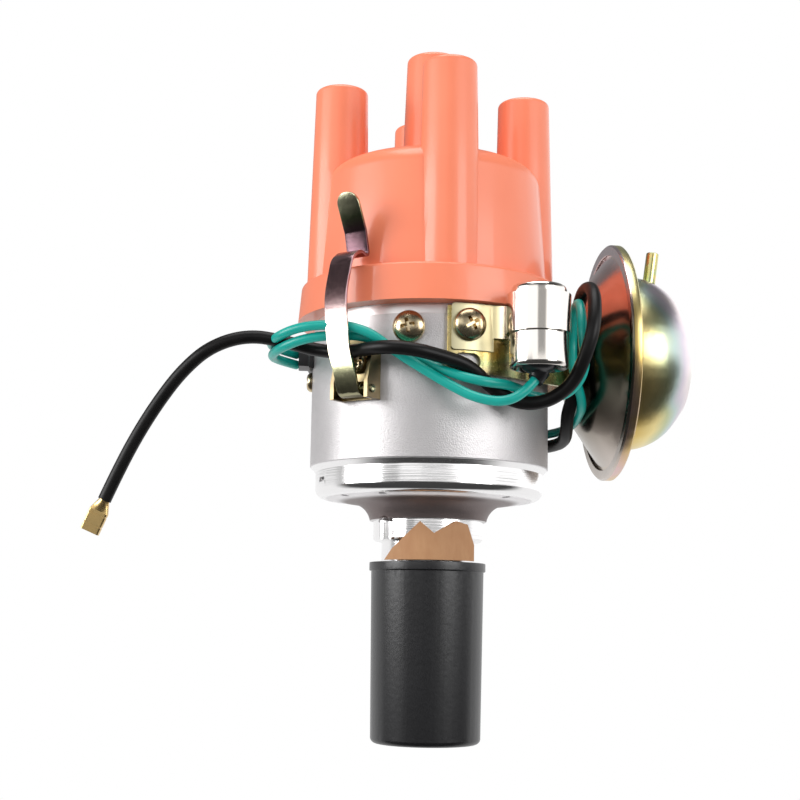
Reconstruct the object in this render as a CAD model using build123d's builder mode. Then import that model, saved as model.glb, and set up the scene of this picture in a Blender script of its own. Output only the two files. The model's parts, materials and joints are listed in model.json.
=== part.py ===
"""Ignition distributor for a four-cylinder engine, with its vacuum unit, condenser and leads.

The shaft's axis is Z. The origin lies on it at the shoulder under the clamp neck, where the
shank begins. +X points to the vacuum unit and -Y to the side with the condenser.
Lengths are in millimetres and angles in degrees.
"""
from build123d import *
from math import acos, atan2, cos, degrees, pi, radians, sin, tan
import os

os.makedirs("parts", exist_ok=True)

# Running and seating gaps
bearing_gap = 0.04
seat_gap = 0.02
body_gap = 0.4
overrun = 2.0
quarter_turn = 90.0

# Housing: shank, clamp neck, flare, machined ring and cast barrel
shank_r = 13.5
shank_len = 40.0
shank_chamfer = 1.2
bush_seat_r = 8.5
neck_step = 2.5
neck_r = shank_r + neck_step
neck_h = 5.9
neck_chamfer = 0.6
boss_r = 2.5
boss_out = 16.0
boss_azimuth = -137.0
boss_h = 7.1
flare_foot_r = 17.1
flare_top_r = 22.6
flare_top_z = 11.0
flare_sag = 0.9
under_z = 12.2
ring_corner = 2.5
ring_top_z = 19.6
cast_z = 21.3
moving_plate_r = 25.4
plate_screw_clear = 3.2
plate_screw_margin = 2.8
plate_rim_gap = 0.2
ledge_w = 1.2
spigot_wall = 1.6
body_wall = 3.4
band_step = 0.7
ring_step = 1.7
drain_inset = 4.7
plate_screw_offset = moving_plate_r + plate_screw_clear
base_plate_r = plate_screw_offset + plate_screw_margin
upper_bore_r = base_plate_r + plate_rim_gap
lower_bore_r = upper_bore_r - ledge_w
spigot_r = upper_bore_r + spigot_wall
body_r = upper_bore_r + body_wall
band_r = body_r - band_step
ring_r = body_r - ring_step
body_top_z = 61.0
band_top_z = 64.0
spigot_h = 2.6
floor_z = 17.5
ledge_z = 40.0
hub_r = 11.0
hub_h = 2.5
drain_r = 1.2
drain_offset = ring_r - drain_inset
drain_azimuths = (-116.0, -40.0, -145.0)
ring_slot_azimuth = -156.0
ring_slot_w = 1.2
ring_slot_l = 5.0
ring_slot_depth = 0.8

# Seal ring in its groove, and the washer under the shank
seal_section_r = 1.3
seal_squeeze = 0.5
seal_z = -12.0
washer_t = 1.0
washer_step = 2.5
washer_r = shank_r - washer_step

# Bushes
bush_len = 12.0

# Drive shaft, its driving dog and its pin
shaft_r = 6.2
spindle_r = 4.0
shaft_foot_z = -47.0
spindle_z = 24.0
spindle_top_z = 62.0
oil_well_r = 1.8
oil_well_depth = 5.0
dog_step = 2.1
dog_r = shank_r - dog_step
dog_h = 6.0
tongue_h = 3.6
tongue_w = 4.6
tongue_offset = 1.2
dog_pin_r = 1.5
dog_pin_len = 22.0

# Centrifugal advance: weight plate, two weights, their pivots and springs
plate_t = 1.5
weight_plate_r = 24.0
weight_plate_z = 21.4
plate_window_r = 3.5
weight_azimuth = 90.0
weight_corner = 2.0
weight_post_out = 17.5
pivot_r = 1.5
pivot_top_z = 27.6
weight_t = 3.6
weight_in_r = 12.4
weight_out_r = 22.8
weight_span = 86.0
weight_heel_span = 12.0
weight_arm_w = 6.4
weight_pin_r = 1.2
weight_pin_offset = 10.5
weight_pin_top_z = 30.6
carrier_z = 28.0
carrier_r = 13.6
carrier_waist_w = 12.0
carrier_waist_r = 8.5
slot_len = 4.2
spring_wire_r = 0.55
spring_coil_r = 1.7
spring_post_r = 0.9
spring_plate_azimuth = 30.0
spring_plate_offset = 21.4
spring_lift = 2.2
spring_coil_share = 0.5
spring_carrier_offset = 8.8

# Cam sleeve
sleeve_r = 6.0
sleeve_foot_z = 24.4
cam_z = 46.0
cam_h = 9.0
cam_flat = 9.0
cam_peak_r = 10.4
neck_sleeve_r = 5.4
sleeve_top_z = 66.0
key_w = 3.0

# Breaker plates
base_plate_bore_r = 12.1
collar_r = 13.0
collar_h = 2.4
moving_plate_gap = 0.3
moving_plate_notch_r = 6.3
plate_screw_azimuths = (150.0, -30.0)
plate_screw_r = 1.3
plate_screw_head_r = 2.1
plate_screw_head_h = 1.2
plate_lug_r = 3.4
plate_lug_h = 4.0
plate_lug_web = 1.0

# Contact set
arm_pivot_x = 16.0
arm_pivot_y = -16.5
arm_pivot_r = 1.6
arm_pivot_h = 9.0
arm_boss_r = 3.0
arm_reach = 30.0
arm_t = 2.0
arm_h = 4.0
arm_lift = 2.0
heel_gap = 0.4
heel_w = 3.4
contact_r = 1.8
contact_t = 1.0
contact_open = 0.42
point_post_t = 1.6
point_post_w = 6.0
point_foot_w = 4.8
point_foot_t = 1.0
arm_spring_t = 0.4

# Cap: skirt, barrel and five towers
skirt_proud = 4.7
skirt_draft = 0.9
skirt_foot_r = body_r + skirt_proud
skirt_top_r = skirt_foot_r - skirt_draft
skirt_top_z = 74.7
skirt_edge = 1.0
barrel_inset = 0.5
barrel_draft = 2.3
barrel_foot_r = body_r - barrel_inset
barrel_top_r = barrel_foot_r - barrel_draft
cap_top_z = 111.6
cap_shoulder = 6.0
barrel_wall = 6.9
cap_room_draft = 1.2
cap_room_foot_r = barrel_foot_r - barrel_wall
cap_room_top_r = cap_room_foot_r - cap_room_draft
cap_room_foot_z = 68.5
cap_room_top_z = 105.0
cap_seat_clear = 0.1
tower_count = 4
tower_inset = 3.9
tower_offset = barrel_top_r - tower_inset
tower_top_r = 7.86
tower_foot_r = 9.1
tower_top_z = 136.0
tower_start = -80.45
tower_edge = 1.3
middle_tower_r = 8.2
middle_tower_foot_r = 9.4
middle_tower_z = 148.3
socket_r = 4.0
socket_depth = 20.0
socket_mouth_r = 5.2
socket_mouth_h = 2.4
holder_r = 5.4
holder_foot_z = 88.0

# Cap electrodes, brush and brush spring
electrode_r = 2.4
electrode_foot_z = 76.0
brush_r = 2.4
brush_gap = 0.3
brush_len = 13.6
brush_edge = 0.8
brush_spring_r = 2.1
middle_bolt_foot_z = 101.0
middle_bolt_r = 2.2

# Rotor
rotor_z = 56.0
rotor_hub_r = 9.0
rotor_skirt_h = 10.5
rotor_neck_r = 6.4
rotor_arm_z = 76.0
rotor_arm_w = 12.0
rotor_arm_t = 4.0
blade_proud = 2.3
blade_w = 6.0
blade_t = 1.4
blade_gap = 0.6
blade_reach = tower_offset - electrode_r - blade_gap
rotor_reach = blade_reach - blade_proud
# Spring clips and their brackets
clip_azimuths = (-123.0, 57.0)
clip_w = 7.2
clip_t = 0.9
clip_pin_r = 1.2
clip_pin_out = 3.4
clip_pin_proud = 0.4
clip_pin_z = 39.6
clip_eye_wall = 0.9
clip_bow = ((7.0, 42.6), (9.8, 48.8), (11.4, 55.1), (12.2, 61.6), (11.6, 68.4))
clip_shoulder_out = 10.0
clip_shoulder_z = 75.0
clip_shoulder_r = 5.0
clip_arch_top_z = 78.3
clip_arch_out = 6.2
clip_arch_r = 3.2
clip_hook_out = 2.0
clip_hook_z = 76.7
clip_hook_r = 1.05
clip_foot_lean_share = 0.1
tab_bend_out = 3.9
tab_bend_z = 84.4
tab_tip_out = 9.0
tab_tip_z = 94.6
bracket_w = 12.6
bracket_t = 1.2
bracket_foot_z = 37.0
bracket_top_z = 54.4
bracket_ear_out = 5.6
bracket_ear_top = 2.6
bracket_screw_z = 47.4

# Screws
screw_r = 2.0
screw_bite = 4.6
screw_head_r = 4.3
screw_head_h = 2.9
screw_edge = 1.3
screw_mid_edge = 0.43
cross_w = 1.2
cross_l = 4.6
cross_depth = 1.5
small_head_r = 3.0
small_head_h = 1.8
front_screw_azimuth = -99.5
front_screw_z = 57.0
strap_screw_azimuth = -73.2
strap_screw_z = 57.6
ground_screw_azimuth = -176.8
ground_screw_z = 46.6
ground_head_r = 2.9
ground_head_h = 1.6

# Vacuum unit
unit_stand_off = 19.0
unit_x = body_r + unit_stand_off
unit_y = 6.0
unit_z = 55.0
unit_turn = 6.5
rim_r = 35.5
rim_half_t = 1.3
shell_t = 1.0
membrane_t = 0.6
dish_r = 31.5
dish_mid_r = 21.0
dish_mid_depth = 9.0
hub_dish_r = 8.2
hub_dish_depth = 16.0
hub_step_r = 8.9
hub_step_depth = 14.0
bowl_r = 26.3
bowl_depth = 23.0
bowl_round_shares = ((0.42, 0.965), (0.73, 0.80), (0.915, 0.62))
bowl_face_share = 0.42
crimp_w = 2.0
nipple_r = 1.9
nipple_foot_r = 1.5
nipple_step = 1.6
nipple_bore_r = 1.0
nipple_edge = 0.22
nipple_along_share = 0.539
nipple_along = nipple_along_share * bowl_depth
nipple_lean = 8.0
nipple_root_share = 0.897
nipple_root = nipple_root_share * bowl_r
nipple_h = 11.0
rod_w = 5.0
rod_t = 1.2
rod_hole_r = 4.5
rod_crank_x = 27.0
rod_slot_h = 4.4
rod_slot_w = 10.0
pull_post_offset = 22.0
pull_post_r = 1.5
rod_eye_r = 3.4
rod_crank_along = 4.8
piston_r = 12.0
piston_t = 1.2
unit_spring_r = 7.0

# Vacuum unit bracket
strip_t = 1.5
strip_start_azimuth = -82.5
strip_end_azimuth = -42.0
strip_foot_z = 44.2
strip_top_z = 60.4
wing_y = -13.4
hub_plate_end_y = 14.0
hub_plate_top_z = 63.0
strip_corner = 2.0
strip_slot_w = 4.4
strip_slot_l = 7.6
strip_slot_azimuth = -73.6
strip_slot_z = 47.6

# Condenser
can_r = 8.0
can_stand_off = 13.9
can_offset = body_r + can_stand_off
can_azimuth = -53.0
can_foot_z = 44.8
can_top_z = 69.9
can_edge = 1.2
can_recess = 2.2
can_lip = 1.0
can_lip_edge = 0.33
can_top_step = 0.4
plug_h = 2.4
plug_r = 5.4
plug_shoulder_r = 4.5
plug_drop = 1.4
plug_nose_r = 2.2
plug_nose_l = 3.5
strap_t = 0.8
strap_foot_z = 54.4
strap_top_z = 67.3
tab_top_z = 63.6
tab_foot_z = 50.6
tab_start_azimuth = -81.0
tab_end_azimuth = -62.0
tab_corner = 1.0

# Lead terminal block, and the rubber elbow where two leads enter the housing
block_azimuth = -174.6
block_z = 53.2
block_h = 5.4
block_w = 9.0
block_out = 4.2
block_in = 3.6
block_flange = 1.2
elbow_azimuth = 36.0
elbow_z = 32.0
elbow_plug_r = 3.6
elbow_w = 8.0
elbow_h = 9.0
elbow_out = 6.2
elbow_edge = 1.5

# Leads
coil_lead_d = 3.8
thin_lead_d = 2.7
arc_run_share = 0.45
coil_lead_points = (
    (-90.6, -22.0, 9.1), (-87.4, -22.3, 16.5), (-82.4, -23.0, 26.7), (-76.4, -24.0, 36.6),
    (-69.5, -25.7, 45.6), (-61.3, -27.9, 52.3), (-51.1, -29.2, 56.1), (-40.5, -32.6, 54.8),
    (-30.8, -32.3, 53.1), (-21.7, -35.8, 51.0), (-13.2, -43.7, 49.7), (-4.7, -44.8, 49.0),
    (3.1, -41.4, 47.7), (10.6, -38.7, 45.8), (16.7, -33.4, 40.8), (23.6, -33.1, 36.4),
    (31.5, -33.9, 36.3), (38.7, -35.5, 41.0), (42.0, -38.8, 48.3), (44.6, -40.0, 57.4),
    (45.1, -33.8, 69.0), (43.1, -20.8, 71.3), (42.0, -11.2, 62.1), (43.6, -12.8, 46.6),
    (40.1, -8.6, 38.3), (40.5, -1.6, 33.2), (40.6, 5.0, 31.2), (38.4, 12.45, 30.4),
    (33.45, 19.29, 30.4))
condenser_lead_points = (
    (28.4, -39.8, 41.7), (25.3, -41.0, 37.8), (19.8, -41.6, 35.2), (12.4, -41.4, 36.4),
    (6.1, -40.1, 39.7), (-1.5, -38.8, 44.4), (-9.1, -39.4, 49.0), (-17.8, -39.9, 55.3),
    (-27.5, -35.2, 58.0), (-36.3, -31.3, 57.5), (-43.9, -25.8, 55.6), (-49.2, -16.3, 55.3),
    (-46.2, -7.4, 54.8), (-39.6, -3.9, 54.6))
points_lead_points = (
    (33.45, 19.29, 34.2), (38.4, 12.45, 34.2), (42.0, 5.0, 35.0), (43.7, -3.0, 36.8),
    (44.2, -13.8, 39.6), (40.8, -17.4, 47.6),
    (40.9, -14.5, 57.5), (41.1, -21.3, 66.6), (41.5, -32.6, 64.9), (41.6, -36.4, 53.8),
    (42.9, -33.3, 45.5), (38.2, -30.4, 39.0), (29.8, -29.4, 38.2), (22.7, -34.5, 41.2),
    (14.8, -40.3, 40.9), (6.8, -39.5, 43.0), (0.1, -37.0, 46.2), (-8.1, -36.0, 49.6),
    (-16.3, -37.3, 53.6), (-26.0, -32.3, 56.1), (-35.3, -28.8, 55.5), (-42.6, -25.0, 53.0),
    (-48.3, -15.8, 52.3), (-45.9, -7.7, 51.7), (-39.6, -3.9, 51.5))
terminal_wall = 0.6
terminal_w = 5.4
terminal_h = 2.2
terminal_box_l = 6.2
terminal_neck_l = 3.4
terminal_neck_r = 1.5
terminal_edge = 0.5
terminal_seam_w = 0.35
terminal_seam_depth = 0.2
terminal_seam_shares = (0.12, 0.62)

# Cover over the shank and the paper wrap above it
cover_top_z = -6.2
cover_foot_z = -57.5
cover_clear = 1.1
cover_top_wall = 1.8
cover_foot_wall = 1.2
cover_bead = 0.55
cover_bead_h = 2.4
cover_room_r = shank_r + cover_clear
cover_top_r = cover_room_r + cover_top_wall
cover_foot_r = cover_room_r + cover_foot_wall
cover_bead_r = cover_top_r + cover_bead
cover_floor = 2.2
cover_edge = 1.6
paper_t = 0.5
paper_gap = 0.2
paper_outline = ((-12.3, -5.8), (-10.1, -2.6), (-2.2, 5.0), (1.8, 1.7), (8.0, 5.3), (11.4, 4.4),
                 (13.3, -1.2), (13.3, -5.8))


def polar(radius, azimuth):
    """X and Y of a point at a radius and an azimuth."""
    return radius * cos(radians(azimuth)), radius * sin(radians(azimuth))


def radial_plane(azimuth):
    """Plane through the axis: its x runs outwards at the azimuth and its y runs up."""
    out = Vector(*polar(1, azimuth), 0)
    return Plane(origin=(0, 0, 0), x_dir=out, z_dir=out.cross(Vector(0, 0, 1)))


def face_plane(azimuth, radius, height):
    """Plane square to a radius: its x runs anticlockwise, its y up and its normal outwards."""
    out = Vector(*polar(1, azimuth), 0)
    at = out * radius + Vector(0, 0, height)
    return Plane(origin=at, x_dir=Vector(0, 0, 1).cross(out), z_dir=out)


def finish(part, name):
    """Labels a finished piece and writes its file."""
    part.label = name
    export_step(part, "parts/" + name + ".step")


def cut_round_hole(azimuth, height, radius):
    """Cuts a round hole through the housing's wall from outside."""
    with BuildSketch(face_plane(azimuth, body_r + overrun, height)) as hole:
        Circle(radius)
    extrude(hole.sketch, amount=-(body_r - lower_bore_r + 2 * overrun), mode=Mode.SUBTRACT)


def cut_square_hole(azimuth, height, width, tall):
    """Cuts a square hole through the housing's wall from outside."""
    with BuildSketch(face_plane(azimuth, body_r + overrun, height)) as hole:
        Rectangle(width, tall)
    extrude(hole.sketch, amount=-(body_r - lower_bore_r + 2 * overrun), mode=Mode.SUBTRACT)


def cord_path(points):
    """Straight runs joined by arcs as large as each pair of runs allows, with the radii."""
    radii = []
    for before, corner, after in zip(points, points[1:], points[2:]):
        run_in = Vector(*corner) - Vector(*before)
        run_out = Vector(*after) - Vector(*corner)
        turn = run_in.get_angle(run_out)
        radii.append(arc_run_share * min(run_in.length, run_out.length) / tan(radians(turn) / 2))
    return FilletPolyline(*points, radius=radii), radii


def make_lead(points, diameter, name):
    """Sweeps a round lead along its route and prints its length, radii and volume ratio."""
    route, radii = cord_path(points)
    with BuildPart() as lead:
        with BuildSketch(Plane(origin=route @ 0, z_dir=route % 0)):
            Circle(diameter / 2)
        sweep(path=route)
    ratio = lead.part.volume / (pi * (diameter / 2) ** 2 * route.length)
    print(name, "length", round(route.length, 1), "volume ratio", round(ratio, 2),
          "least radius", round(min(radii), 1), "of", [round(r, 1) for r in radii])
    finish(lead.part, name)


# Housing casting
with BuildPart() as housing_casting:
    with BuildSketch(Plane.XZ):
        with BuildLine():
            Polyline((bush_seat_r, -shank_len), (shank_r - shank_chamfer, -shank_len),
                     (shank_r, -shank_len + shank_chamfer), (shank_r, 0),
                     (neck_r - neck_chamfer, 0), (neck_r, neck_chamfer), (neck_r, neck_h),
                     (flare_foot_r, neck_h))
            flare_mid = ((flare_foot_r + flare_top_r) / 2 - flare_sag,
                         (neck_h + flare_top_z) / 2 + flare_sag)
            ThreePointArc((flare_foot_r, neck_h), flare_mid, (flare_top_r, flare_top_z))
            Line((flare_top_r, flare_top_z), (ring_r - ring_corner, under_z))
            corner = JernArc((ring_r - ring_corner, under_z), (1, 0), ring_corner, quarter_turn)
            Polyline(corner @ 1, (ring_r, ring_top_z), (body_r, cast_z), (body_r, body_top_z),
                     (band_r, body_top_z), (band_r, band_top_z), (spigot_r, band_top_z),
                     (spigot_r, band_top_z + spigot_h), (upper_bore_r, band_top_z + spigot_h),
                     (upper_bore_r, ledge_z), (lower_bore_r, ledge_z), (lower_bore_r, floor_z),
                     (hub_r, floor_z), (hub_r, floor_z + hub_h), (bush_seat_r, floor_z + hub_h),
                     (bush_seat_r, -shank_len))
        make_face()
    revolve(axis=Axis.Z)
    groove_r = shank_r + seal_squeeze + body_gap - 2 * seal_section_r
    with BuildSketch(Plane.XZ):
        with Locations(((groove_r + shank_r + overrun) / 2, seal_z)):
            Rectangle(shank_r + overrun - groove_r, 2 * seal_section_r + seal_squeeze)
    revolve(axis=Axis.Z, mode=Mode.SUBTRACT)
    with BuildSketch(Plane.XY.offset(flare_top_z - overrun)):
        with Locations(*[polar(drain_offset, azimuth) for azimuth in drain_azimuths]):
            Circle(drain_r)
    extrude(amount=floor_z - flare_top_z + 2 * overrun, mode=Mode.SUBTRACT)
    with Locations((*polar(boss_out, boss_azimuth), 0)):
        Cylinder(boss_r, boss_h - boss_r, align=(Align.CENTER, Align.CENTER, Align.MIN))
    with Locations((*polar(boss_out, boss_azimuth), boss_h - boss_r)):
        Sphere(boss_r)
    with BuildSketch(face_plane(ring_slot_azimuth, ring_r + overrun, (under_z + cast_z) / 2)):
        SlotOverall(ring_slot_l, ring_slot_w)
    extrude(amount=-(overrun + ring_slot_depth), mode=Mode.SUBTRACT)
    with BuildSketch(Plane.XY.offset(ledge_z - plate_lug_h)):
        with Locations(*[polar(plate_screw_offset, azimuth) for azimuth in plate_screw_azimuths]):
            Circle(plate_lug_r)
        Circle(upper_bore_r, mode=Mode.INTERSECT)
    extrude(amount=plate_lug_h)
    with BuildSketch(Plane.XY.offset(ledge_z - plate_lug_h + plate_lug_web)):
        with Locations(*[polar(plate_screw_offset, azimuth) for azimuth in plate_screw_azimuths]):
            Circle(plate_screw_r + seat_gap)
    extrude(amount=plate_lug_h, mode=Mode.SUBTRACT)
    for azimuth, height in ((front_screw_azimuth, front_screw_z),
                            (strap_screw_azimuth, strap_screw_z),
                            (clip_azimuths[0], bracket_screw_z),
                            (clip_azimuths[1], bracket_screw_z),
                            (ground_screw_azimuth, ground_screw_z)):
        cut_round_hole(azimuth, height, screw_r + seat_gap)
    cut_round_hole(elbow_azimuth, elbow_z, elbow_plug_r)
    cut_square_hole(block_azimuth, block_z, block_w, block_h)
    cut_square_hole(unit_turn, unit_z, rod_slot_w, rod_slot_h)
finish(housing_casting.part, "housing_casting")

# Seal ring
with BuildPart() as seal_ring:
    with BuildSketch(Plane.XZ):
        with Locations((groove_r + seal_section_r, seal_z)):
            Circle(seal_section_r)
    revolve(axis=Axis.Z)
finish(seal_ring.part, "seal_ring")

# Bushes at both ends of the shank's bore
with BuildPart() as shaft_bushes:
    for foot in (-shank_len, floor_z + hub_h - bush_len):
        with BuildSketch(Plane.XY.offset(foot)):
            Circle(bush_seat_r - seat_gap)
            Circle(shaft_r + bearing_gap, mode=Mode.SUBTRACT)
        extrude(amount=bush_len)
finish(shaft_bushes.part, "shaft_bushes")

# Thrust washers under the shank and over the hub
with BuildPart() as thrust_washers:
    for foot in (-shank_len - washer_t, floor_z + hub_h):
        with BuildSketch(Plane.XY.offset(foot)):
            Circle(washer_r - body_gap)
            Circle(shaft_r + 2 * bearing_gap, mode=Mode.SUBTRACT)
        extrude(amount=washer_t)
finish(thrust_washers.part, "thrust_washers")

# Drive shaft with its thinner spindle and the oil well at its top
dog_top_z = -shank_len - washer_t - body_gap
dog_pin_z = dog_top_z - dog_h / 2
with BuildPart() as drive_shaft:
    with BuildSketch(Plane.XZ):
        with BuildLine():
            Polyline((0, shaft_foot_z), (shaft_r, shaft_foot_z), (shaft_r, spindle_z),
                     (spindle_r, spindle_z), (spindle_r, spindle_top_z),
                     (oil_well_r, spindle_top_z),
                     (oil_well_r, spindle_top_z - oil_well_depth),
                     (0, spindle_top_z - oil_well_depth), (0, shaft_foot_z))
        make_face()
    revolve(axis=Axis.Z)
    with BuildSketch(Plane.YZ.offset(-shaft_r - overrun)):
        with Locations((0, dog_pin_z)):
            Circle(dog_pin_r)
    extrude(amount=2 * (shaft_r + overrun), mode=Mode.SUBTRACT)
finish(drive_shaft.part, "drive_shaft")

# Driving dog with its offset tongue
with BuildPart() as drive_dog:
    with BuildSketch(Plane.XY.offset(dog_top_z - dog_h)):
        Circle(dog_r)
    extrude(amount=dog_h)
    with BuildSketch(Plane.XY.offset(dog_top_z - dog_h - tongue_h)):
        Circle(dog_r)
        with Locations((0, tongue_offset + tongue_w / 2 + dog_r)):
            Rectangle(2 * dog_r + overrun, 2 * dog_r, mode=Mode.SUBTRACT)
        with Locations((0, tongue_offset - tongue_w / 2 - dog_r)):
            Rectangle(2 * dog_r + overrun, 2 * dog_r, mode=Mode.SUBTRACT)
    extrude(amount=tongue_h)
    with BuildSketch(Plane.XY.offset(dog_top_z - dog_h - tongue_h - overrun)):
        Circle(shaft_r + seat_gap)
    extrude(amount=dog_h + tongue_h + 2 * overrun, mode=Mode.SUBTRACT)
    with BuildSketch(Plane.YZ.offset(-dog_r - overrun)):
        with Locations((0, dog_pin_z)):
            Circle(dog_pin_r)
    extrude(amount=2 * (dog_r + overrun), mode=Mode.SUBTRACT)
finish(drive_dog.part, "drive_dog")

# Pin through the dog and the shaft
with BuildPart() as dog_pin:
    with BuildSketch(Plane.YZ.offset(-dog_pin_len / 2)):
        with Locations((0, dog_pin_z)):
            Circle(dog_pin_r - seat_gap)
    extrude(amount=dog_pin_len)
finish(dog_pin.part, "dog_pin")

# Weight plate with the weights' pivots and the springs' posts
weight_z = weight_plate_z + plate_t + body_gap
spring_z = carrier_z + plate_t + spring_lift
with BuildPart() as weight_plate:
    with BuildSketch(Plane.XY.offset(weight_plate_z)):
        Circle(weight_plate_r)
        Circle(shaft_r + seat_gap, mode=Mode.SUBTRACT)
        with PolarLocations((shaft_r + weight_plate_r) / 2, 2):
            Circle(plate_window_r, mode=Mode.SUBTRACT)
    extrude(amount=plate_t)
    with BuildSketch(Plane.XY.offset(weight_plate_z + plate_t)):
        with PolarLocations(weight_post_out, 2, start_angle=weight_azimuth):
            Circle(pivot_r)
    extrude(amount=pivot_top_z - weight_plate_z - plate_t)
    with BuildSketch(Plane.XY.offset(weight_plate_z + plate_t)):
        with PolarLocations(spring_plate_offset, 2, start_angle=spring_plate_azimuth):
            Circle(spring_post_r)
    extrude(amount=spring_z + spring_lift - weight_plate_z - plate_t)
finish(weight_plate.part, "weight_plate")


def make_weight(name, side):
    """One advance weight: a crescent about the shaft, with its pivot hole and driving pin."""
    start = side - weight_heel_span
    with BuildPart() as weight:
        with BuildSketch(Plane.XY.offset(weight_z)) as weight_outline:
            with BuildLine():
                outer = CenterArc((0, 0), weight_out_r, start, weight_span + weight_heel_span)
                inner = CenterArc((0, 0), weight_in_r, start, weight_span + weight_heel_span)
                Line(outer @ 0, inner @ 0)
                Line(outer @ 1, inner @ 1)
            make_face()
            fillet(weight_outline.vertices(), radius=weight_corner)
            arm_at = polar((weight_post_out + weight_pin_offset) / 2, side)
            with Locations(Location((*arm_at, 0), (0, 0, side))):
                Rectangle(weight_post_out - weight_pin_offset + weight_arm_w / 2, weight_arm_w)
            with Locations(polar(weight_post_out, side)):
                Circle(pivot_r + bearing_gap, mode=Mode.SUBTRACT)
        extrude(amount=weight_t)
        with BuildSketch(Plane.XY.offset(weight_z + weight_t)):
            with Locations(polar(weight_pin_offset, side)):
                Circle(weight_pin_r)
        extrude(amount=weight_pin_top_z - weight_z - weight_t)
    finish(weight.part, name)


make_weight("advance_weight_a", -weight_azimuth)
make_weight("advance_weight_b", weight_azimuth)

# Cam sleeve with its carrier plate, four-lobed cam and keyed top
with BuildPart() as cam_sleeve:
    with BuildSketch(Plane.XY.offset(sleeve_foot_z)):
        Circle(sleeve_r)
    extrude(amount=cam_z - sleeve_foot_z)
    with BuildSketch(Plane.XY.offset(carrier_z)):
        Circle(carrier_r)
        with Locations((carrier_r + carrier_waist_w / 2, 0), (-carrier_r - carrier_waist_w / 2, 0)):
            Circle(carrier_waist_r, mode=Mode.SUBTRACT)
    extrude(amount=plate_t)
    with BuildSketch(Plane.XY.offset(carrier_z + plate_t)):
        with PolarLocations(spring_carrier_offset, 2):
            Circle(spring_post_r)
    extrude(amount=2 * spring_lift)
    with BuildSketch(Plane.XY.offset(carrier_z - overrun)):
        with PolarLocations(weight_pin_offset, 2, start_angle=weight_azimuth):
            SlotOverall(slot_len + 2 * weight_pin_r, 2 * (weight_pin_r + body_gap))
    extrude(amount=plate_t + 2 * overrun, mode=Mode.SUBTRACT)
    with BuildSketch(Plane.XY.offset(cam_z)):
        Rectangle(2 * cam_flat, 2 * cam_flat)
        Circle(cam_peak_r, mode=Mode.INTERSECT)
    extrude(amount=cam_h)
    with BuildSketch(Plane.XY.offset(cam_z + cam_h)):
        Circle(neck_sleeve_r)
    extrude(amount=sleeve_top_z - cam_z - cam_h)
    with BuildSketch(Plane.XY.offset(sleeve_foot_z - overrun)):
        Circle(spindle_r + bearing_gap)
    extrude(amount=spindle_top_z + body_gap + overrun - sleeve_foot_z, mode=Mode.SUBTRACT)
    key_at = polar(neck_sleeve_r, tower_start)
    with BuildSketch(Plane.XY.offset(spindle_top_z)):
        with Locations(Location((*key_at, 0), (0, 0, tower_start))):
            Rectangle(key_w, key_w, mode=Mode.ADD)
    extrude(amount=sleeve_top_z - spindle_top_z, mode=Mode.SUBTRACT)
finish(cam_sleeve.part, "cam_sleeve")

# Advance springs between the carrier plate and the posts of the weight plate
with BuildPart() as advance_springs:
    for side in (0, 2 * weight_azimuth):
        post = Vector(*polar(spring_plate_offset, spring_plate_azimuth + side), spring_z)
        peg = Vector(*polar(spring_carrier_offset, side), spring_z)
        along = (post - peg).normalized()
        span = (post - peg).length - 2 * spring_post_r
        with BuildSketch(Plane(origin=peg + along * spring_post_r, z_dir=along)):
            Circle(spring_wire_r)
        extrude(amount=span)
        coil_foot = peg + along * (spring_post_r + span * (1 - spring_coil_share) / 2)
        with BuildSketch(Plane(origin=coil_foot, z_dir=along)):
            Circle(spring_coil_r)
        extrude(amount=span * spring_coil_share)
finish(advance_springs.part, "advance_springs")

# Fixed base plate of the breaker, with the collar that the moving plate turns on
with BuildPart() as breaker_base_plate:
    with BuildSketch(Plane.XY.offset(ledge_z)):
        Circle(base_plate_r)
        Circle(base_plate_bore_r, mode=Mode.SUBTRACT)
        with Locations(*[polar(plate_screw_offset, azimuth) for azimuth in plate_screw_azimuths]):
            Circle(plate_screw_r + seat_gap, mode=Mode.SUBTRACT)
    extrude(amount=plate_t)
    with BuildSketch(Plane.XY.offset(ledge_z + plate_t)):
        Circle(collar_r)
        Circle(base_plate_bore_r, mode=Mode.SUBTRACT)
    extrude(amount=collar_h)
finish(breaker_base_plate.part, "breaker_base_plate")

# Screws of the base plate
with BuildPart() as plate_screws:
    for azimuth in plate_screw_azimuths:
        with BuildSketch(Plane.XY.offset(ledge_z - plate_lug_h / 2)):
            with Locations(polar(plate_screw_offset, azimuth)):
                Circle(plate_screw_r)
        extrude(amount=plate_t + plate_lug_h / 2)
        with BuildSketch(Plane.XY.offset(ledge_z + plate_t)):
            with Locations(polar(plate_screw_offset, azimuth)):
                Circle(plate_screw_head_r)
        extrude(amount=plate_screw_head_h)
finish(plate_screws.part, "plate_screws")

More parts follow.
